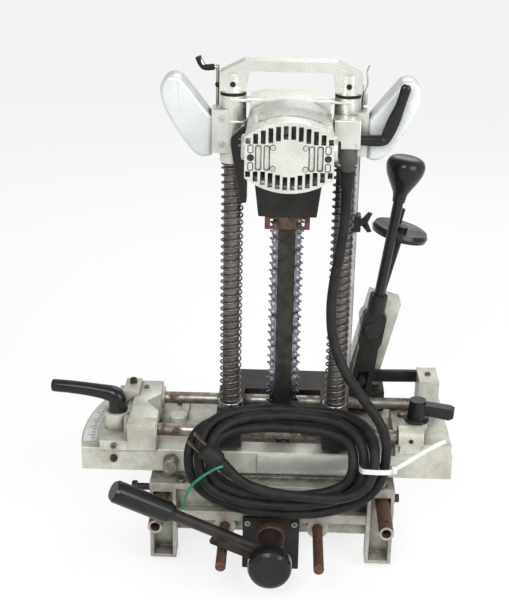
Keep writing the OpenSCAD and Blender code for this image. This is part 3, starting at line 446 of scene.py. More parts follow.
def coil_point(t):
    """Spirals in over the first half of the loops and out over the second, one layer up."""
    half = COIL_LOOPS / 2
    inwards = t if t < half else COIL_LOOPS - t
    lift = ease((t - half) * 2 + 0.5) * COIL_STEP
    a = -t * math.tau
    s = math.cos(a)
    tail = ease((t - COIL_LOOPS + 1.15) / 0.2) * TAIL_LIFT
    rw = DRAPE_LEN / 2 - inwards * COIL_STEP - ease((t - COIL_LOOPS + 1.05) / 0.35) * TAIL_PULL
    flat = COIL_HALF - DRAPE_LEN / 2
    return drape(COIL_X + flat * s * (3 - s * s) / 2 + rw * math.cos(a), DRAPE_LEN / 2 - rw * math.sin(a),
                 lift + tail)


def make_cord():
    run, tail = ([Vector(p) + SHIFT * MM for p in points] for points in (CORD_RUN, TAIL))
    coil = [coil_point(i / 24) for i in range(round(TAIL_FROM * 24) + 1)] + tail
    path = smooth_path(run, 6) + smooth_path(coil, 3)
    cord = dress(tube(path, CORD_D / 2, 5), "cord", None, RUBBER, 60.0)
    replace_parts(cord, "cord_run", "cord_coil")
    plug = make_plug(coil[-1], (coil[-1] - coil[-2]).normalized())
    tie = make_cable_tie()
    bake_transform(cord)
    make_earth_wire(coil[-1])


def make_plug(foot, way):
    """Moulded plug with a ribbed neck and two flat pins, on the cord's end."""
    bm = bmesh.new()
    profile = [(0, 0), (5.1, 0)]
    for i in range(5):
        h = 1.5 + i * 2.8
        profile += [(5.3 + i * 0.3, h), (5.3 + i * 0.3, h + 1.4), (4.9 + i * 0.3, h + 1.6), (4.9 + i * 0.3, h + 2.6)]
    profile += [(7.6, 16), (8.6, 18), (9, 20), (9, 33.5), (8.4, 35.3), (7.6, 36), (0, 36)]
    turned(bm, profile, foot, way, 28)
    plug = piece(bm, "plug_body", "carriage", RUBBER)
    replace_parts(plug, "cord_plug")
    pins = bmesh.new()
    turn = Vector((0, 0, 1)).rotation_difference(way).to_matrix().to_4x4()
    for side in (-5.0, 5.0):
        place = (Matrix.Translation(foot) @ turn @ Matrix.Translation(Vector((side, 0, 44)) * MM)
                 @ Matrix.Diagonal((1.6 * MM, 6 * MM, 17 * MM, 1.0)))
        made = bmesh.ops.create_cube(pins, size=1.0, matrix=place)
        edges = list({e for v in made["verts"] for e in v.link_edges})
        bmesh.ops.bevel(pins, geom=edges, offset=0.35 * MM, affect="EDGES", segments=2, profile=0.5, material=-1)
    contact = piece(pins, "plug_pins", "carriage", BRASS)
    contact.parent = plug
    contact.matrix_parent_inverse = Matrix.Identity(4)
    return plug


TIE_W, TIE_LOW, TIE_HIGH = DRAPE_LEN / 2 + 4, COIL_X + 70.3, COIL_X + 101.5
TIE_TAIL = [(0, 0, 0), (10, 3, 5), (24, 6, 14), (38, 7, 23), (47, 7, 28)]


def make_cable_tie():
    """White tie round the right side of the coil, with its head and its uncut tail."""
    layers = COIL_STEP + TAIL_LIFT
    middle = drape((TIE_LOW + TIE_HIGH) / 2, TIE_W, layers / 2)
    out = (drape(TIE_LOW, TIE_W, 20.0) - drape(TIE_LOW, TIE_W, 0.0)).normalized()
    across = Vector((1, 0, 0))
    along = across.cross(out)
    half_w, half_h, corner, band = (TIE_HIGH - TIE_LOW) / 2, layers / 2 + CORD_D / 2 + 0.6, 9.0, 4.6
    bm = bmesh.new()
    ring = []
    for i in range(64):
        a = math.tau * i / 64
        x = math.copysign(min(abs(math.cos(a)) * 1.6, 1.0), math.cos(a)) * (half_w - corner) + corner * math.cos(a)
        y = math.copysign(min(abs(math.sin(a)) * 1.6, 1.0), math.sin(a)) * (half_h - corner) + corner * math.sin(a)
        ring.append(bm.verts.new(middle + (across * x + out * y - along * band / 2) * MM))
    edges = [bm.edges.new((a, b)) for a, b in zip(ring, ring[1:] + ring[:1])]
    grown = bmesh.ops.extrude_edge_only(bm, edges=edges)
    moved = [v for v in grown["geom"] if isinstance(v, bmesh.types.BMVert)]
    bmesh.ops.translate(bm, verts=moved, vec=along * band * MM)
    bmesh.ops.recalc_face_normals(bm, faces=bm.faces)
    bmesh.ops.solidify(bm, geom=bm.faces, thickness=1.1 * MM)
    head = middle + (across * (half_w + 1.5) + out * 2.0) * MM
    turn = Matrix((across, along, out)).transposed().to_4x4()
    made = bmesh.ops.create_cube(bm, size=1.0, matrix=Matrix.Translation(head) @ turn
                                 @ Matrix.Diagonal((5.5 * MM, 7.5 * MM, 8 * MM, 1.0)))
    edges = list({e for v in made["verts"] for e in v.link_edges})
    bmesh.ops.bevel(bm, geom=edges, offset=0.8 * MM, affect="EDGES", segments=2, profile=0.5, material=-1)
    strip = [head + Vector(p) * MM for p in TIE_TAIL]
    side, thick = Vector((-0.35, 0.42, 0.84)).normalized() * 1.9 * MM, Vector((0, -0.9, 0.45)).normalized() * 0.55 * MM
    face = bm.faces.new([bm.verts.new(strip[0] + u + v) for u, v in ((side, thick), (side, -thick), (-side, -thick),
                                                                   (-side, thick))])
    for a, b in zip(strip, strip[1:]):
        grown = bmesh.ops.extrude_face_region(bm, geom=[face])["geom"]
        bmesh.ops.translate(bm, verts=[v for v in grown if isinstance(v, bmesh.types.BMVert)], vec=b - a)
        face = next(f for f in grown if isinstance(f, bmesh.types.BMFace))
    bmesh.ops.recalc_face_normals(bm, faces=bm.faces)
    return piece(bm, "cable_tie", "carriage", NYLON, 40.0)


EARTH_D = 2.6
EARTH_WAY = [(-8.5, -5, 10), (-14.5, -6.5, 8.5), (-21.5, -6.7, 4), (-29.5, -6.1, -2.5), (-36.5, -5.1, -10),
             (-41.5, -3.5, -19), (-44.5, -1.7, -29), (-46, -0.3, -39)]


def make_earth_wire(foot):
    """Loose earth wire from the neck of the plug, hanging over the coil."""
    path = smooth_path([foot + Vector(p) * MM for p in EARTH_WAY], 5)
    wire = dress(tube(path, EARTH_D / 2, 3), "earth_wire", "carriage", EARTH_GREEN, 60.0)


make_cord()

# Return springs

SPRING_LOW, SPRING_HIGH = 158.0, 402.0
SPRING_R, WIRE_R, SPRING_TURNS = 9.95, 0.9, 36


def make_springs():
    closed = 1.0
    for side, x in zip(("left", "right"), COLUMN_X):
        points, turns, per = [], SPRING_TURNS, 20
        low, high = SPRING_LOW + WIRE_R + 0.1, SPRING_HIGH - WIRE_R - 0.1
        wire = WIRE_R * 2.1
        for i in range(turns * per + 1):
            t = i / per
            if t < closed:
                z = low + wire * t
            elif t > turns - closed:
                z = high - wire * (turns - t)
            else:
                z = low + wire * closed + (high - low - 2 * wire * closed) * (t - closed) / (turns - 2 * closed)
            a = math.tau * t
            points.append(at(x + SPRING_R * math.cos(a), SPRING_R * math.sin(a), z))
        spring = dress(tube(points, WIRE_R, 2), side + "_spring", "carriage", SPRING_STEEL, 60.0)
        if side == "left":
            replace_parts(spring, "return_springs")
        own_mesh(spring)


make_springs()

# Castings and machined pieces with rounded edges

for names, width, material in (
    (("base_plate", "left_block", "right_block"), 1.6, CREAM_CASTING),
    (("lever_bracket",), 1.4, CREAM_CASTING),
    (("vise_frame", "rear_jaw", "jaw_plate"), 1.4, VISE_CASTING),
    (("carry_handle",), 2.6, WHITE_CASTING),
    (("head_frame", "motor_housing", "switch_box"), 1.6, WHITE_CASTING),
    (("motor_cover",), 1.0, WHITE_CASTING),
    (("carriage", "lever_arm", "chain_cover", "thrust_plate"), 1.2, BLACK_CAST),
    (("reaction_arm", "stop_block", "lock_spindle", "lever_pin"), 0.6, BLACK_CAST),
    (("right_lock_lever", "chip_deflector"), 1.6, BLACK_ENAMEL),
    (("vise_lever",), 1.2, RUSTED_ENAMEL),
    (("wing_bolt", "brush_caps", "vise_grip"), 0.8, BLACK_ENAMEL),
    (("lock_wheel",), 1.4, BLACK_ENAMEL),
    (("vise_knob",), 3.0, BLACK_ENAMEL),
    (("lever_rod", "handle_screws"), 0.3, BLACK_ENAMEL),
    (("chain_guard", "vise_collar", "guide_tubes", "guide_rods"), 0.7, RUSTED_STEEL),
    (("spring_collars", "depth_rod"), 0.6, GROUND_STEEL),
    (("traverse_rods",), 0.6, TRAVERSE_STEEL),
    (("columns",), 0.6, COLUMN_STEEL),
    (("left_lock_stud", "right_lock_stud"), 0.5, SCREW_STEEL),
    (("thrust_plate_screws", "index_screws"), 0.35, SCREW_STEEL),
    (("cover_screws",), 0.35, BLACK_CAST),
    (("chain_bar",), 0.6, BAR_STEEL),
    (("cord_guard",), 0.8, GUARD_RUBBER),
):
    for node in names:
        soften(node, width, material, 3 if width > 2 else 2)

for node in ("clamp_screw", "armature", "sprocket", "tip_roller", "cord_hooks"):
    NODES[node].data.materials.clear()
    NODES[node].data.materials.append(GROUND_STEEL)

# Levers and knob with moulded forms: where each lever runs, and its half sizes across and up there

LEFT_LEVER_WAY = ((0, 0), (0, 7), (0.5, 12.5), (4, 16.2), (11, 18), (20, 19.3), (34, 20.8), (50, 21.9), (63, 22.3),
                  (65.4, 22.3), (66.2, 22.3))
LEFT_LEVER_SIZES = [(9.6, 9.6), (9, 9), (8.7, 8.7), (8.2, 8.2), (7.2, 7.4), (6.5, 6.8), (6, 6.4), (5.9, 6.2),
                    (5.8, 6.1), (5.2, 5.4), (3.6, 3.8)]
SWITCH_LEVER_WAY = ((88.6, 426.4), (89.4, 429), (93, 437), (97.5, 449), (101.5, 460), (104.4, 470), (106.2, 477.5),
                    (106.9, 480.6))
SWITCH_LEVER_SIZES = [(2, 2), (3.2, 4.2), (3.6, 5.6), (3.6, 5.8), (3.4, 4.7), (3.3, 4.5), (3, 4.6), (1.8, 2.6)]
KNOB_OUTLINE = ((6.2, 0), (6.4, 3), (7.2, 8), (9.6, 13), (13.6, 20), (17, 27), (18.8, 34), (18.4, 39), (15.8, 42.9),
                (10, 45.3), (0, 46))


def moulded(bm, node):
    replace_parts(piece(bm, node + "_dressed", BODY_OF[node], BLACK_ENAMEL, 50.0), node)


def make_levers():
    """The curved left lock lever, the switch lever and the pear knob, in place of their plainer solids."""
    turn = math.radians(176)
    out, side = Vector((math.cos(turn), math.sin(turn), 0)), Vector((-math.sin(turn), math.cos(turn), 0))
    hub = at(-158, -12, 149.3)
    bm = bmesh.new()
    swept(bm, [hub + (out * a + Vector((0, 0, h))) * MM for a, h in LEFT_LEVER_WAY], LEFT_LEVER_SIZES, side,
          open_start=True)
    moulded(bm, "left_lock_lever")

    bm = bmesh.new()
    swept(bm, [at(x, -24, 430) for x in (68.4, 74, 82, 89, 92)],
          [(4.6, 4.6), (4.8, 4.8), (5, 5.2), (4.4, 4.8), (2.6, 3)], Vector((0, 1, 0)))
    swept(bm, [at(x, -24.5, z) for x, z in SWITCH_LEVER_WAY], SWITCH_LEVER_SIZES, Vector((0, 1, 0)))
    moulded(bm, "switch_lever")

    bm = bmesh.new()
    lean = Vector((math.sin(math.radians(8)), 0, math.cos(math.radians(8))))
    curve = smooth_path([Vector((r, h, 0)) for r, h in KNOB_OUTLINE], 4)
    profile = [(0, 0)] + [(p.x, p.y) for p in curve[:-1]] + [KNOB_OUTLINE[-1]]
    turned(bm, profile, at(94, 46, 221) + lean * 134 * MM, lean, 40)
    moulded(bm, "lever_knob")


make_levers()

# Grips and fins of the head

GRIP_HALF_DEPTH, GRIP_ROUND = 15.0, 3.8
GRIP_OUTLINE = ((71, 410), (80, 409), (89, 415), (103, 434), (113, 452), (117, 466), (115.8, 475.4), (109.6, 481.8),
                (101.6, 481.6), (95.4, 476.6), (71, 446))


def make_grips():
    """Winged grips with a round outline and rounded rims, in place of their faceted solids."""
    outline = smooth_path([Vector((x, 0, z)) for x, z in GRIP_OUTLINE], 5)
    for side, node in ((-1, "left_grip"), (1, "right_grip")):
        bm = bmesh.new()
        rims = [[bm.verts.new(at(CARRIAGE_X + side * p.x, y, p.z)) for p in outline]
                for y in (-GRIP_HALF_DEPTH, GRIP_HALF_DEPTH)]
        ends = [bm.faces.new(rim) for rim in rims]
        for i in range(len(outline)):
            bm.faces.new((rims[0][i - 1], rims[0][i], rims[1][i], rims[1][i - 1]))
        bmesh.ops.recalc_face_normals(bm, faces=bm.faces)
        rim_edges = [edge for face in ends for edge in face.edges]
        bmesh.ops.bevel(bm, geom=rim_edges, offset=GRIP_ROUND * MM, affect="EDGES", segments=4, profile=0.5,
                        material=-1)
        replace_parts(piece(bm, node + "_dressed", BODY_OF[node], GRIP_PAINT, 40.0), node)


def make_head_fins():
    """Thin fins from the guide sleeves to the motor, above and below, and the block in the chain guard's middle."""
    bm = bmesh.new()
    for low, high, z in ((-49, -21, 459.4), (-49, -34, 439.4), (29, 59, 459.4), (40, 59, 439.4)):
        slab(bm, (low, -12.6, z), (high, -3, z + 2.8), 0.7)
    piece(bm, "head_fins", "head", WHITE_CASTING)
    bm = bmesh.new()
    slab(bm, (-1, -16.6, 343.6), (11, -14.4, 354.4), 0.4)
    piece(bm, "guard_block", "head", RUSTED_STEEL)


make_grips()
make_head_fins()

# Chain: plates with hooked teeth on rivets, round the bar

CHAIN_R, CHAIN_LINKS = 11.5, 78
SPROCKET_Z, ROLLER_Z = 404.0, 130.0
INNER_HEEL = -2.2
FRONT_TIP, BACK_TIP = 4.6, 3.0
RIVET_R, RIVET_LENGTH, RIVET_INSET = 1.3, 18.6, 0.3


def chain_place(s):
    """Place of a link s along the chain: out of the bar, and along the run."""
    run, bend = SPROCKET_Z - ROLLER_Z, math.pi * CHAIN_R
    s %= 2 * (run + bend)
    if s < run:
        turn, z = 0.0, ROLLER_Z + s
    elif s < run + bend:
        turn, z = (s - run) / CHAIN_R, SPROCKET_Z
    elif s < 2 * run + bend:
        turn, z = math.pi, SPROCKET_Z - (s - run - bend)
    else:
        turn, z = math.pi + (s - 2 * run - bend) / CHAIN_R, ROLLER_Z
    out = Vector((-math.cos(turn), 0, math.sin(turn)))
    along = Vector((math.sin(turn), 0, math.cos(turn)))
    return at(CARRIAGE_X, 0, z) + out * CHAIN_R * MM, out, along


def make_chain():
    """Toothed and plain link plates in rows that take turns, on bright rivets."""
    pitch = 2 * (SPROCKET_Z - ROLLER_Z + math.pi * CHAIN_R) / CHAIN_LINKS
    half = pitch / 2
    heel = [(-half - 2.1, -2.6), (-half, -3.45), (half, -3.45), (half + 2.1, -2.6), (half + 2.9, -0.3)]
    plain = heel + [(half + 2.1, 1.0), (half, 1.6), (-half, 1.6), (-half - 2.1, 1.0), (-half - 2.9, -0.3)]
    inner = [(s, max(n, INNER_HEEL)) for s, n in plain]

    def tooth(tip):
        return heel + [(half + 2.8, 1.2), (half + 2.4, tip), (half + 1.7, tip - 0.1), (half - 0.2, 2.2),
                       (half - 2.2, 1.3), (0.4, 1.0), (-half + 2.0, 1.3), (-half + 1.6, tip),
                       (-half + 0.9, tip - 0.1), (-half - 0.8, 1.9), (-half - 2.4, 1.0), (-half - 2.9, -0.3)]

    bm = bmesh.new()
    rivets = bmesh.new()
    for i in range(CHAIN_LINKS):
        middle, out, along = chain_place((i + 0.5) * pitch)
        rows = ((-8.8, 2.2, tooth(FRONT_TIP)), (-3.3, 2.4, inner), (0.9, 2.4, inner), (6.6, 2.2, tooth(BACK_TIP)))
        if i % 2:
            rows = ((-6.4, 2.2, plain), (-0.7, 1.4, inner), (4.2, 2.2, plain))
        for y, thick, outline in rows:
            ring = [bm.verts.new(middle + (along * s + out * n + Vector((0, y, 0))) * MM) for s, n in outline]
            grown = bmesh.ops.extrude_face_region(bm, geom=[bm.faces.new(ring)])
            moved = [v for v in grown["geom"] if isinstance(v, bmesh.types.BMVert)]
            bmesh.ops.translate(bm, verts=moved, vec=(0, thick * MM, 0))
        pin, out, along = chain_place((i + 1) * pitch)
        place = Matrix.Translation(pin - out * RIVET_INSET * MM) @ Matrix.Rotation(math.pi / 2, 4, "X")
        bmesh.ops.create_cone(rivets, cap_ends=True, segments=12, radius1=RIVET_R * MM, radius2=RIVET_R * MM,
                              depth=RIVET_LENGTH * MM, matrix=place)
    bmesh.ops.recalc_face_normals(bm, faces=bm.faces)
    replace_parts(piece(bm, "mortise_chain", "head", CHAIN_STEEL, 30.0), "chain")
    piece(rivets, "chain_rivets", "head", RIVET_STEEL, 30.0)


make_chain()

# Small fittings


def cap_screw(bm, where, axis, radius, height):
    """Adds a cap screw head with a round edge and a socket."""
    r, h = radius, height
    turned(bm, [(0, h * 0.45), (r * 0.5, h * 0.5), (r * 0.52, h * 0.96), (r * 0.86, h), (r, h * 0.82), (r, 0), (0, 0)],
           where, axis, 24)


def hex_bolt(bm, where, axis, radius, height):
    """Adds a hex bolt head on a washer."""
    turn = Vector((0, 0, 1)).rotation_difference(Vector(axis)).to_matrix().to_4x4()
    place = Matrix.Translation(where + Vector(axis) * (height / 2 + 1) * MM) @ turn
    made = bmesh.ops.create_cone(bm, cap_ends=True, segments=6, radius1=radius * MM, radius2=radius * MM,
                                 depth=height * MM, matrix=place)
    edges = list({e for v in made["verts"] for e in v.link_edges})
    bmesh.ops.bevel(bm, geom=edges, offset=0.5 * MM, affect="EDGES", segments=2, profile=0.5, material=-1)
    turned(bm, [(0, 0), (radius * 1.2, 0), (radius * 1.2, 1), (0, 1)], where, axis, 24)


def long_bolt(bm, where, axis, radius, height):
    """Adds a bolt that stands out on its shank."""
    r, h = radius, height
    turned(bm, [(0, 0), (r * 0.6, 0), (r * 0.6, h - 5), (r, h - 5), (r, h - 0.8), (r * 0.86, h), (0, h)],
           where, axis, 24)


def washer(bm, where, axis, radius, height):
    """Adds a plain washer."""
    hole, edge = radius * 0.6, radius - 0.4
    turned(bm, [(hole, 0), (radius, 0), (radius, height - 0.4), (edge, height), (hole, height)], where, axis, 32, True)


def make_screws():
    """Screws in the castings, bright, painted over or blackened, grouped by the body that they ride on."""
    up, front, left, right = (0, 0, 1), (0, -1, 0), (-1, 0, 0), (1, 0, 0)
    bright = {
        "traverse_frame": [(cap_screw, (-134, 30, 155.2), up, 2.6, 1.4), (hex_bolt, (-167, 6, 132), up, 4.2, 3.0),
                           (cap_screw, (153, 42, 172), up, 3.0, 2.6), (hex_bolt, (127, 20, 135), up, 4.2, 3.0)],
        "base": [(washer, (104.4, -48, 91), up, 6.6, 1.2), (cap_screw, (-102, 61, 122), up, 3.6, 2.4),
                 (cap_screw, (96, 64, 122), up, 3.6, 2.4), (cap_screw, (104.4, -48, 92.2), up, 4.4, 5.0),
                 (cap_screw, (-92, -48, 91), up, 4.4, 3.0)],
        "carriage": [(cap_screw, (-55, -45, 145), front, 2.6, 1.6), (cap_screw, (-39, -45, 145), front, 2.6, 1.6),
                     (cap_screw, (49, -45, 145), front, 2.6, 1.6), (cap_screw, (65, -45, 145), front, 2.6, 1.6),
                     (cap_screw, (64.5, 66, 158), up, 2.8, 2.4), (cap_screw, (-47, 64, 150), up, 3.6, 3.0)],
    }
    painted = {
        "head": [(cap_screw, (-57, -12, 444), front, 2.4, 1.4), (cap_screw, (-57, -12, 420), front, 2.4, 1.4),
                 (cap_screw, (64, -12, 418), front, 2.4, 1.4), (cap_screw, (46, -36, 446), front, 1.6, 0.8),
                 (cap_screw, (65, -36, 428), front, 1.6, 0.8)],
    }
    dark = {
        "traverse_frame": [(cap_screw, (-148, 33, 158), up, 3.6, 5.0), (cap_screw, (-167, 6, 136), up, 3.0, 4.0),
                           (cap_screw, (130, -47, 141), front, 2.2, 0.8)],
        "base": [(long_bolt, (-123, -46, 82.5), left, 5.8, 18.0), (hex_bolt, (117, -46, 78), right, 4.2, 4.0),
                 (cap_screw, (-158.8, -42, 111.3), front, 3.6, 3.0)],
        "right_lock_lever": [(washer, (138, -12, 147.4), up, 12.4, 2.4)],
    }
    for groups, name, material in ((bright, "_screws", SCREW_STEEL), (dark, "_dark_screws", BLACK_CAST),
                                   (painted, "_screws", WHITE_CASTING)):
        for body, screws in groups.items():
            bm = bmesh.new()
            for shape, where, axis, radius, height in screws:
                shape(bm, at(*where), axis, radius, height)
            piece(bm, body + name, body, material)


def make_gap_shade_and_strain_relief():
    """Black rings in the gaps between the sleeves and the carry handle, painted shade there, and the cord's strain
    relief.
    """
    bm = bmesh.new()
    for x in COLUMN_X:
        low, high = SLEEVE_HIGH + 0.4, HANDLE_LOW - 0.1
        ring = [(8.2, low), (11.6, low), (11.9, low + 0.4), (11.9, high - 0.4), (11.6, high), (8.2, high)]
        turned(bm, ring, at(x, 0, 0), (0, 0, 1), closed=True)
    # Painted shade: the black rings fill the 3 mm gaps that show dark.
    piece(bm, "handle_gap_shade", "carriage", RUBBER)
    bm = bmesh.new()
    ring = [(4.9, 386.0), (5.4, 386.0), (5.9, 392.0), (6.4, 399.0), (7.0, 401.8), (4.9, 401.8)]
    turned(bm, ring, at(58, -27, 0), (0, 0, 1), closed=True)
    piece(bm, "strain_relief", "head", RUBBER)


SCALE_LOW_R, SCALE_HIGH_R = 180.0, 193.0
SCALE_FROM, SCALE_TO = 159.0, 189.0


def make_scale():
    """Pale scale strip on the curved end, with plain ticks."""
    bm = bmesh.new()
    z = BASE_HIGH + 0.05
    start = Matrix.Rotation(math.radians(SCALE_FROM), 3, "Z")
    ring = [bm.verts.new(at(*(start @ Vector((r, 0, 0))).xy, h))
            for r, h in ((SCALE_LOW_R, z), (SCALE_HIGH_R, z), (SCALE_HIGH_R, z + 0.5), (SCALE_LOW_R, z + 0.5))]
    face = bm.faces.new(ring)
    bmesh.ops.spin(bm, geom=[face] + ring + list(face.edges), cent=at(0, 0, 0), axis=(0, 0, 1),
                   angle=math.radians(SCALE_TO - SCALE_FROM), steps=24)
    bmesh.ops.recalc_face_normals(bm, faces=bm.faces)
    piece(bm, "scale_strip", "base", NYLON, 40.0)
    bm = bmesh.new()
    for degree in range(round(SCALE_FROM) + 2, round(SCALE_TO)):
        length = 8.0 if degree % 5 == 0 else 4.5
        turn = Matrix.Rotation(math.radians(degree), 4, "Z")
        middle = turn @ Vector((SCALE_LOW_R + 1.2 + length / 2, 0, z + 0.55))
        place = Matrix.Translation(at(*middle)) @ turn @ Matrix.Diagonal((length * MM, 0.6 * MM, 0.2 * MM, 1.0))
        bmesh.ops.create_cube(bm, size=1.0, matrix=place)
    piece(bm, "scale_ticks", "base", TICK_INK)


def make_block_ridge():
    """Sloping ridge that joins the rod bosses of the left block, notched on its inner side."""
    bm = bmesh.new()
    corners = ((-145, -47.4), (-116.6, -47.4), (-116.6, -17), (-131, 2), (-118, 17), (-118, 46.4), (-145, 46.4))
    face = bm.faces.new([bm.verts.new(at(x, y, 122.3)) for x, y in corners])
    grown = bmesh.ops.extrude_face_region(bm, geom=[face])["geom"]
    for v in grown:
        if isinstance(v, bmesh.types.BMVert):
            v.co.z = (153.0 + (v.co.y / MM - SHIFT.y) * 0.045) * MM
    bmesh.ops.recalc_face_normals(bm, faces=bm.faces)
    bmesh.ops.bevel(bm, geom=list(bm.edges), offset=1.8 * MM, affect="EDGES", segments=2, profile=0.5, material=-1)
    piece(bm, "block_ridge", "traverse_frame", CREAM_CASTING)


WEAR_PLATE_LEFT, WEAR_PLATE_WIDTH = -18.0, 117.0
WEAR_PLATE_SECTION = ((-41.9, 100), (-43.2, 100), (-43.4, 100.4), (-43.4, 117.6), (-41.9, 120.6))


def make_base_fittings():
    """Ribs on the base casting, the wear plate and stop on its front, and the bright ends of the guide tubes."""
    bm = bmesh.new()
    turned(bm, [(0, 0), (9.6, 0), (9.0, 12), (8.2, 13), (0, 13)], at(-100, 10, 122), (0, 0, 1))
    slab(bm, (-92, 6, 121.9), (-62, 14, 126.5), 1.0)
    slab(bm, (-100, 18, 121.9), (-92, 60, 126.5), 1.0)
    slab(bm, (98, 8, 121.9), (112, 16, 126.5), 1.0)
    piece(bm, "base_bosses", "base", CREAM_CASTING)
    bm = bmesh.new()
    face = bm.faces.new([bm.verts.new(at(WEAR_PLATE_LEFT, y, z)) for y, z in WEAR_PLATE_SECTION])
    grown = bmesh.ops.extrude_face_region(bm, geom=[face])["geom"]
    moved = [v for v in grown if isinstance(v, bmesh.types.BMVert)]
    bmesh.ops.translate(bm, verts=moved, vec=(WEAR_PLATE_WIDTH * MM, 0, 0))
    bmesh.ops.recalc_face_normals(bm, faces=bm.faces)
    piece(bm, "wear_plate", "base", PLATE_ALLOY)
    bm = bmesh.new()
    turned(bm, [(0, 0), (7.5, 0), (7.5, 13.2), (6.7, 14), (0, 14)], at(-102.5, -42, 110), (0, -1, 0))
    piece(bm, "base_stop", "base", SCREW_STEEL)
    bm = bmesh.new()
    for x in (-112, 106):
        turned(bm, [(4.6, 0), (6.9, 0), (6.9, 0.3), (4.6, 0.3)], at(x, -104, 73), (0, -1, 0), closed=True)
    piece(bm, "tube_rims", "vise_jaw", GROUND_STEEL)


PLATE_HALF_TURN = 27.0
MOTOR_ROUND, MOTOR_DROP = 60.0, 30.0


def make_nameplate():
    """Bare alloy plate on the crown of the motor, with four rivets."""
    bm = bmesh.new()
    hub = at(CARRIAGE_X, 0, MOTOR_Z - MOTOR_DROP)
    start = Matrix.Rotation(math.radians(-PLATE_HALF_TURN), 3, "Y")
    ring = [bm.verts.new(hub + start @ Vector((0, y, MOTOR_ROUND + h)) * MM)
            for y, h in ((-92.0, 0.05), (-56.0, 0.05), (-56.0, 0.6), (-92.0, 0.6))]
    face = bm.faces.new(ring)
    bmesh.ops.spin(bm, geom=[face] + ring + list(face.edges), cent=hub, axis=(0, 1, 0),
                   angle=math.radians(2 * PLATE_HALF_TURN), steps=20)
    bmesh.ops.recalc_face_normals(bm, faces=bm.faces)
    piece(bm, "bare_plate", "head", PLATE_ALLOY, 40.0)
    bm = bmesh.new()
    for turn in (-PLATE_HALF_TURN + 2.5, PLATE_HALF_TURN - 2.5):
        out = Matrix.Rotation(math.radians(turn), 3, "Y") @ Vector((0, 0, 1))
        for y in (-89.0, -59.0):
            turned(bm, [(0, 0), (1.5, 0), (1.2, 0.7), (0, 0.9)],
                   hub + (Vector((0, y, 0)) + out * (MOTOR_ROUND + 0.5)) * MM, out, 12)
    piece(bm, "plate_rivets", "head", SCREW_STEEL)


def make_cover_bosses():
    """Four small ring bosses on the motor end cover."""
    bm = bmesh.new()
    for x in (-13.5, 13.5):
        for z in (-8.9, 8.9):
            turned(bm, [(0, 0.2), (1.1, 0.2), (1.2, 0.7), (1.9, 0.7), (2.1, -0.1), (0, -0.1)],
                   at(CARRIAGE_X + x, MOTOR_FRONT, MOTOR_Z + z), (0, -1, 0), 20)
    piece(bm, "cover_bosses", "head", WHITE_CASTING)


def make_cover_groove_shade():
    """Dark lines round the raised pads and the bosses of the motor end cover, painted shade in their grooves."""
    bm = bmesh.new()

    def groove(x, z, half_x, half_z, corner):
        line = []
        for k in range(24):
            c, s = math.cos(math.tau * (k + 0.5) / 24), math.sin(math.tau * (k + 0.5) / 24)
            line.append(at(CARRIAGE_X + x + math.copysign(half_x - corner, c) + corner * c, MOTOR_FRONT,
                           MOTOR_Z + z + math.copysign(half_z - corner, s) + corner * s))
        bm.from_mesh(tube(line, 0.42, 1, True))

    for side in (-1, 1):
        for x in (18.5, 25.5):
            groove(side * x, 0, 2.3, 10.3, 1.5)
        for z in (-7.4, 7.4):
            groove(side * 32, z, 2.1, 3.2, 1.3)
            groove(side * 13.5, z * 1.2, 2.1, 2.1, 2.1)
    # Painted shade: dark ink lines where the grooves round the pads fall in shade.
    piece(bm, "cover_groove_shade", "head", TICK_INK, 60.0)


def make_wires():
    """Rubber sleeve and bead on the left wire hook, and the right wire hook."""
    hook = [at(CARRIAGE_X - 70, 14, 486), at(CARRIAGE_X - 80, 14, 486), at(CARRIAGE_X - 85.2, 14, 495)]
    dress(tube(smooth_path(hook, 5), 2.9, 3), "hook_sleeve", "head", RUBBER, 60.0)
    bm = bmesh.new()
    turned(bm, [(0, -2.6), (1.8, -2.2), (2.6, 0), (1.8, 2.2), (0, 2.6)], at(CARRIAGE_X - 67, 14, 470), (0, 0, 1), 16)
    piece(bm, "hook_bead", "head", RUBBER, 60.0)
    wire = [at(CARRIAGE_X + 66, 10, 451), at(CARRIAGE_X + 67, 12, 464), at(CARRIAGE_X + 70, 14, 474),
            at(CARRIAGE_X + 69, 15, 484), at(CARRIAGE_X + 71, 15, 490)]
    dress(tube(smooth_path(wire, 5), 0.8, 2), "right_hook", "head", GROUND_STEEL, 60.0)


make_screws()
make_gap_shade_and_strain_relief()
make_scale()
make_block_ridge()
make_base_fittings()
make_nameplate()
make_cover_bosses()
make_cover_groove_shade()
make_wires()

# Camera, light and floor

LENS, SENSOR = 83.7, 36.0
EYE = (3.0, -1067.0, 674.6)
PITCH, YAW, ROLL = 21.0, 1.48, 1.0
AIM = Vector((0.0, 0.0, 0.25))
AMBIENT, MIRRORED, DARK_SIDE = 0.42, 0.65, 0.65
FLOOR_SIZE, FLOOR_SHARE, FLOOR_GLOW = 12.0, 0.7, 1.1


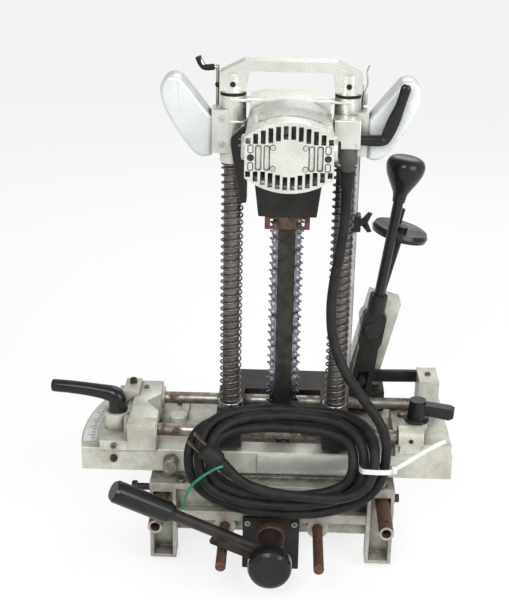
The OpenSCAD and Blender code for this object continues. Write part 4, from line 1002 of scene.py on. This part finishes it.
def set_up_studio():
    """The photo's camera, three lamps, a white surround that is darker to the left in gloss, and a paper floor."""
    lens = bpy.data.cameras.new("photo_view")
    lens.sensor_fit = "HORIZONTAL"
    lens.sensor_width = SENSOR
    lens.lens = LENS
    camera = bpy.data.objects.new("photo_view", lens)
    scene.collection.objects.link(camera)
    camera.matrix_world = (Matrix.Translation(at(*EYE)) @ Matrix.Rotation(math.radians(YAW), 4, "Z")
                           @ Matrix.Rotation(math.radians(90 - PITCH), 4, "X")
                           @ Matrix.Rotation(math.radians(ROLL), 4, "Z"))
    scene.camera = camera
    scene.view_settings.view_transform = "Standard"

    for name, where, size, watts in (("key", (-0.3, -1.25, 1.15), 0.6, 13.0), ("fill", (1.0, -0.9, 0.8), 0.8, 12.0),
                                     ("rim", (0.3, 1.1, 1.2), 0.8, 5.0)):
        lamp = bpy.data.lights.new(name, "AREA")
        lamp.size = size
        lamp.energy = watts
        light = bpy.data.objects.new(name, lamp)
        scene.collection.objects.link(light)
        toward = AIM - Vector(where)
        light.matrix_world = Matrix.Translation(where) @ toward.to_track_quat("-Z", "Y").to_matrix().to_4x4()

    world = bpy.data.worlds.new("studio")
    scene.world = world
    world.use_nodes = True
    tree = world.node_tree
    ground = tree.nodes["Background"]
    ground.inputs["Color"].default_value = (1.0, 1.0, 1.0, 1.0)
    rays = tree.nodes.new("ShaderNodeLightPath")
    seen = math_node(tree, "MAXIMUM", rays.outputs["Is Camera Ray"], rays.outputs["Is Transmission Ray"])
    way = tree.nodes.new("ShaderNodeSeparateXYZ")
    tree.links.new(tree.nodes.new("ShaderNodeTexCoord").outputs["Generated"], way.inputs["Vector"])
    dark_side = math_node(tree, "MULTIPLY", span_node(tree, way.outputs["X"], -0.25, -0.75), DARK_SIDE)
    gloss = math_node(tree, "MULTIPLY", rays.outputs["Is Glossy Ray"], MIRRORED)
    gloss = math_node(tree, "MULTIPLY", gloss, math_node(tree, "SUBTRACT", 1.0, dark_side))
    seen = math_node(tree, "MAXIMUM", seen, gloss)
    tree.links.new(math_node(tree, "MAXIMUM", seen, AMBIENT), ground.inputs["Strength"])

    bm = bmesh.new()
    bmesh.ops.create_grid(bm, x_segments=1, y_segments=1, size=FLOOR_SIZE)
    mesh = bpy.data.meshes.new("floor")
    bm.to_mesh(mesh)
    bm.free()
    floor = bpy.data.objects.new("floor", mesh)
    scene.collection.objects.link(floor)
    paper = bpy.data.materials.new("paper")
    paper.use_nodes = True
    tree = paper.node_tree
    diffuse = tree.nodes["Principled BSDF"]
    diffuse.inputs["Base Color"].default_value = (0.9, 0.9, 0.9, 1.0)
    diffuse.inputs["Roughness"].default_value = 0.9
    glow = tree.nodes.new("ShaderNodeEmission")
    rays = tree.nodes.new("ShaderNodeLightPath")
    seen = math_node(tree, "MAXIMUM", rays.outputs["Is Camera Ray"], rays.outputs["Is Glossy Ray"])
    mixed = tree.nodes.new("ShaderNodeMixShader")
    tree.links.new(math_node(tree, "MULTIPLY", seen, FLOOR_SHARE), mixed.inputs["Fac"])
    glow.inputs["Strength"].default_value = FLOOR_GLOW
    tree.links.new(diffuse.outputs["BSDF"], mixed.inputs[1])
    tree.links.new(glow.outputs["Emission"], mixed.inputs[2])
    tree.links.new(mixed.outputs["Shader"], tree.nodes["Material Output"].inputs["Surface"])
    mesh.materials.append(paper)


set_up_studio()
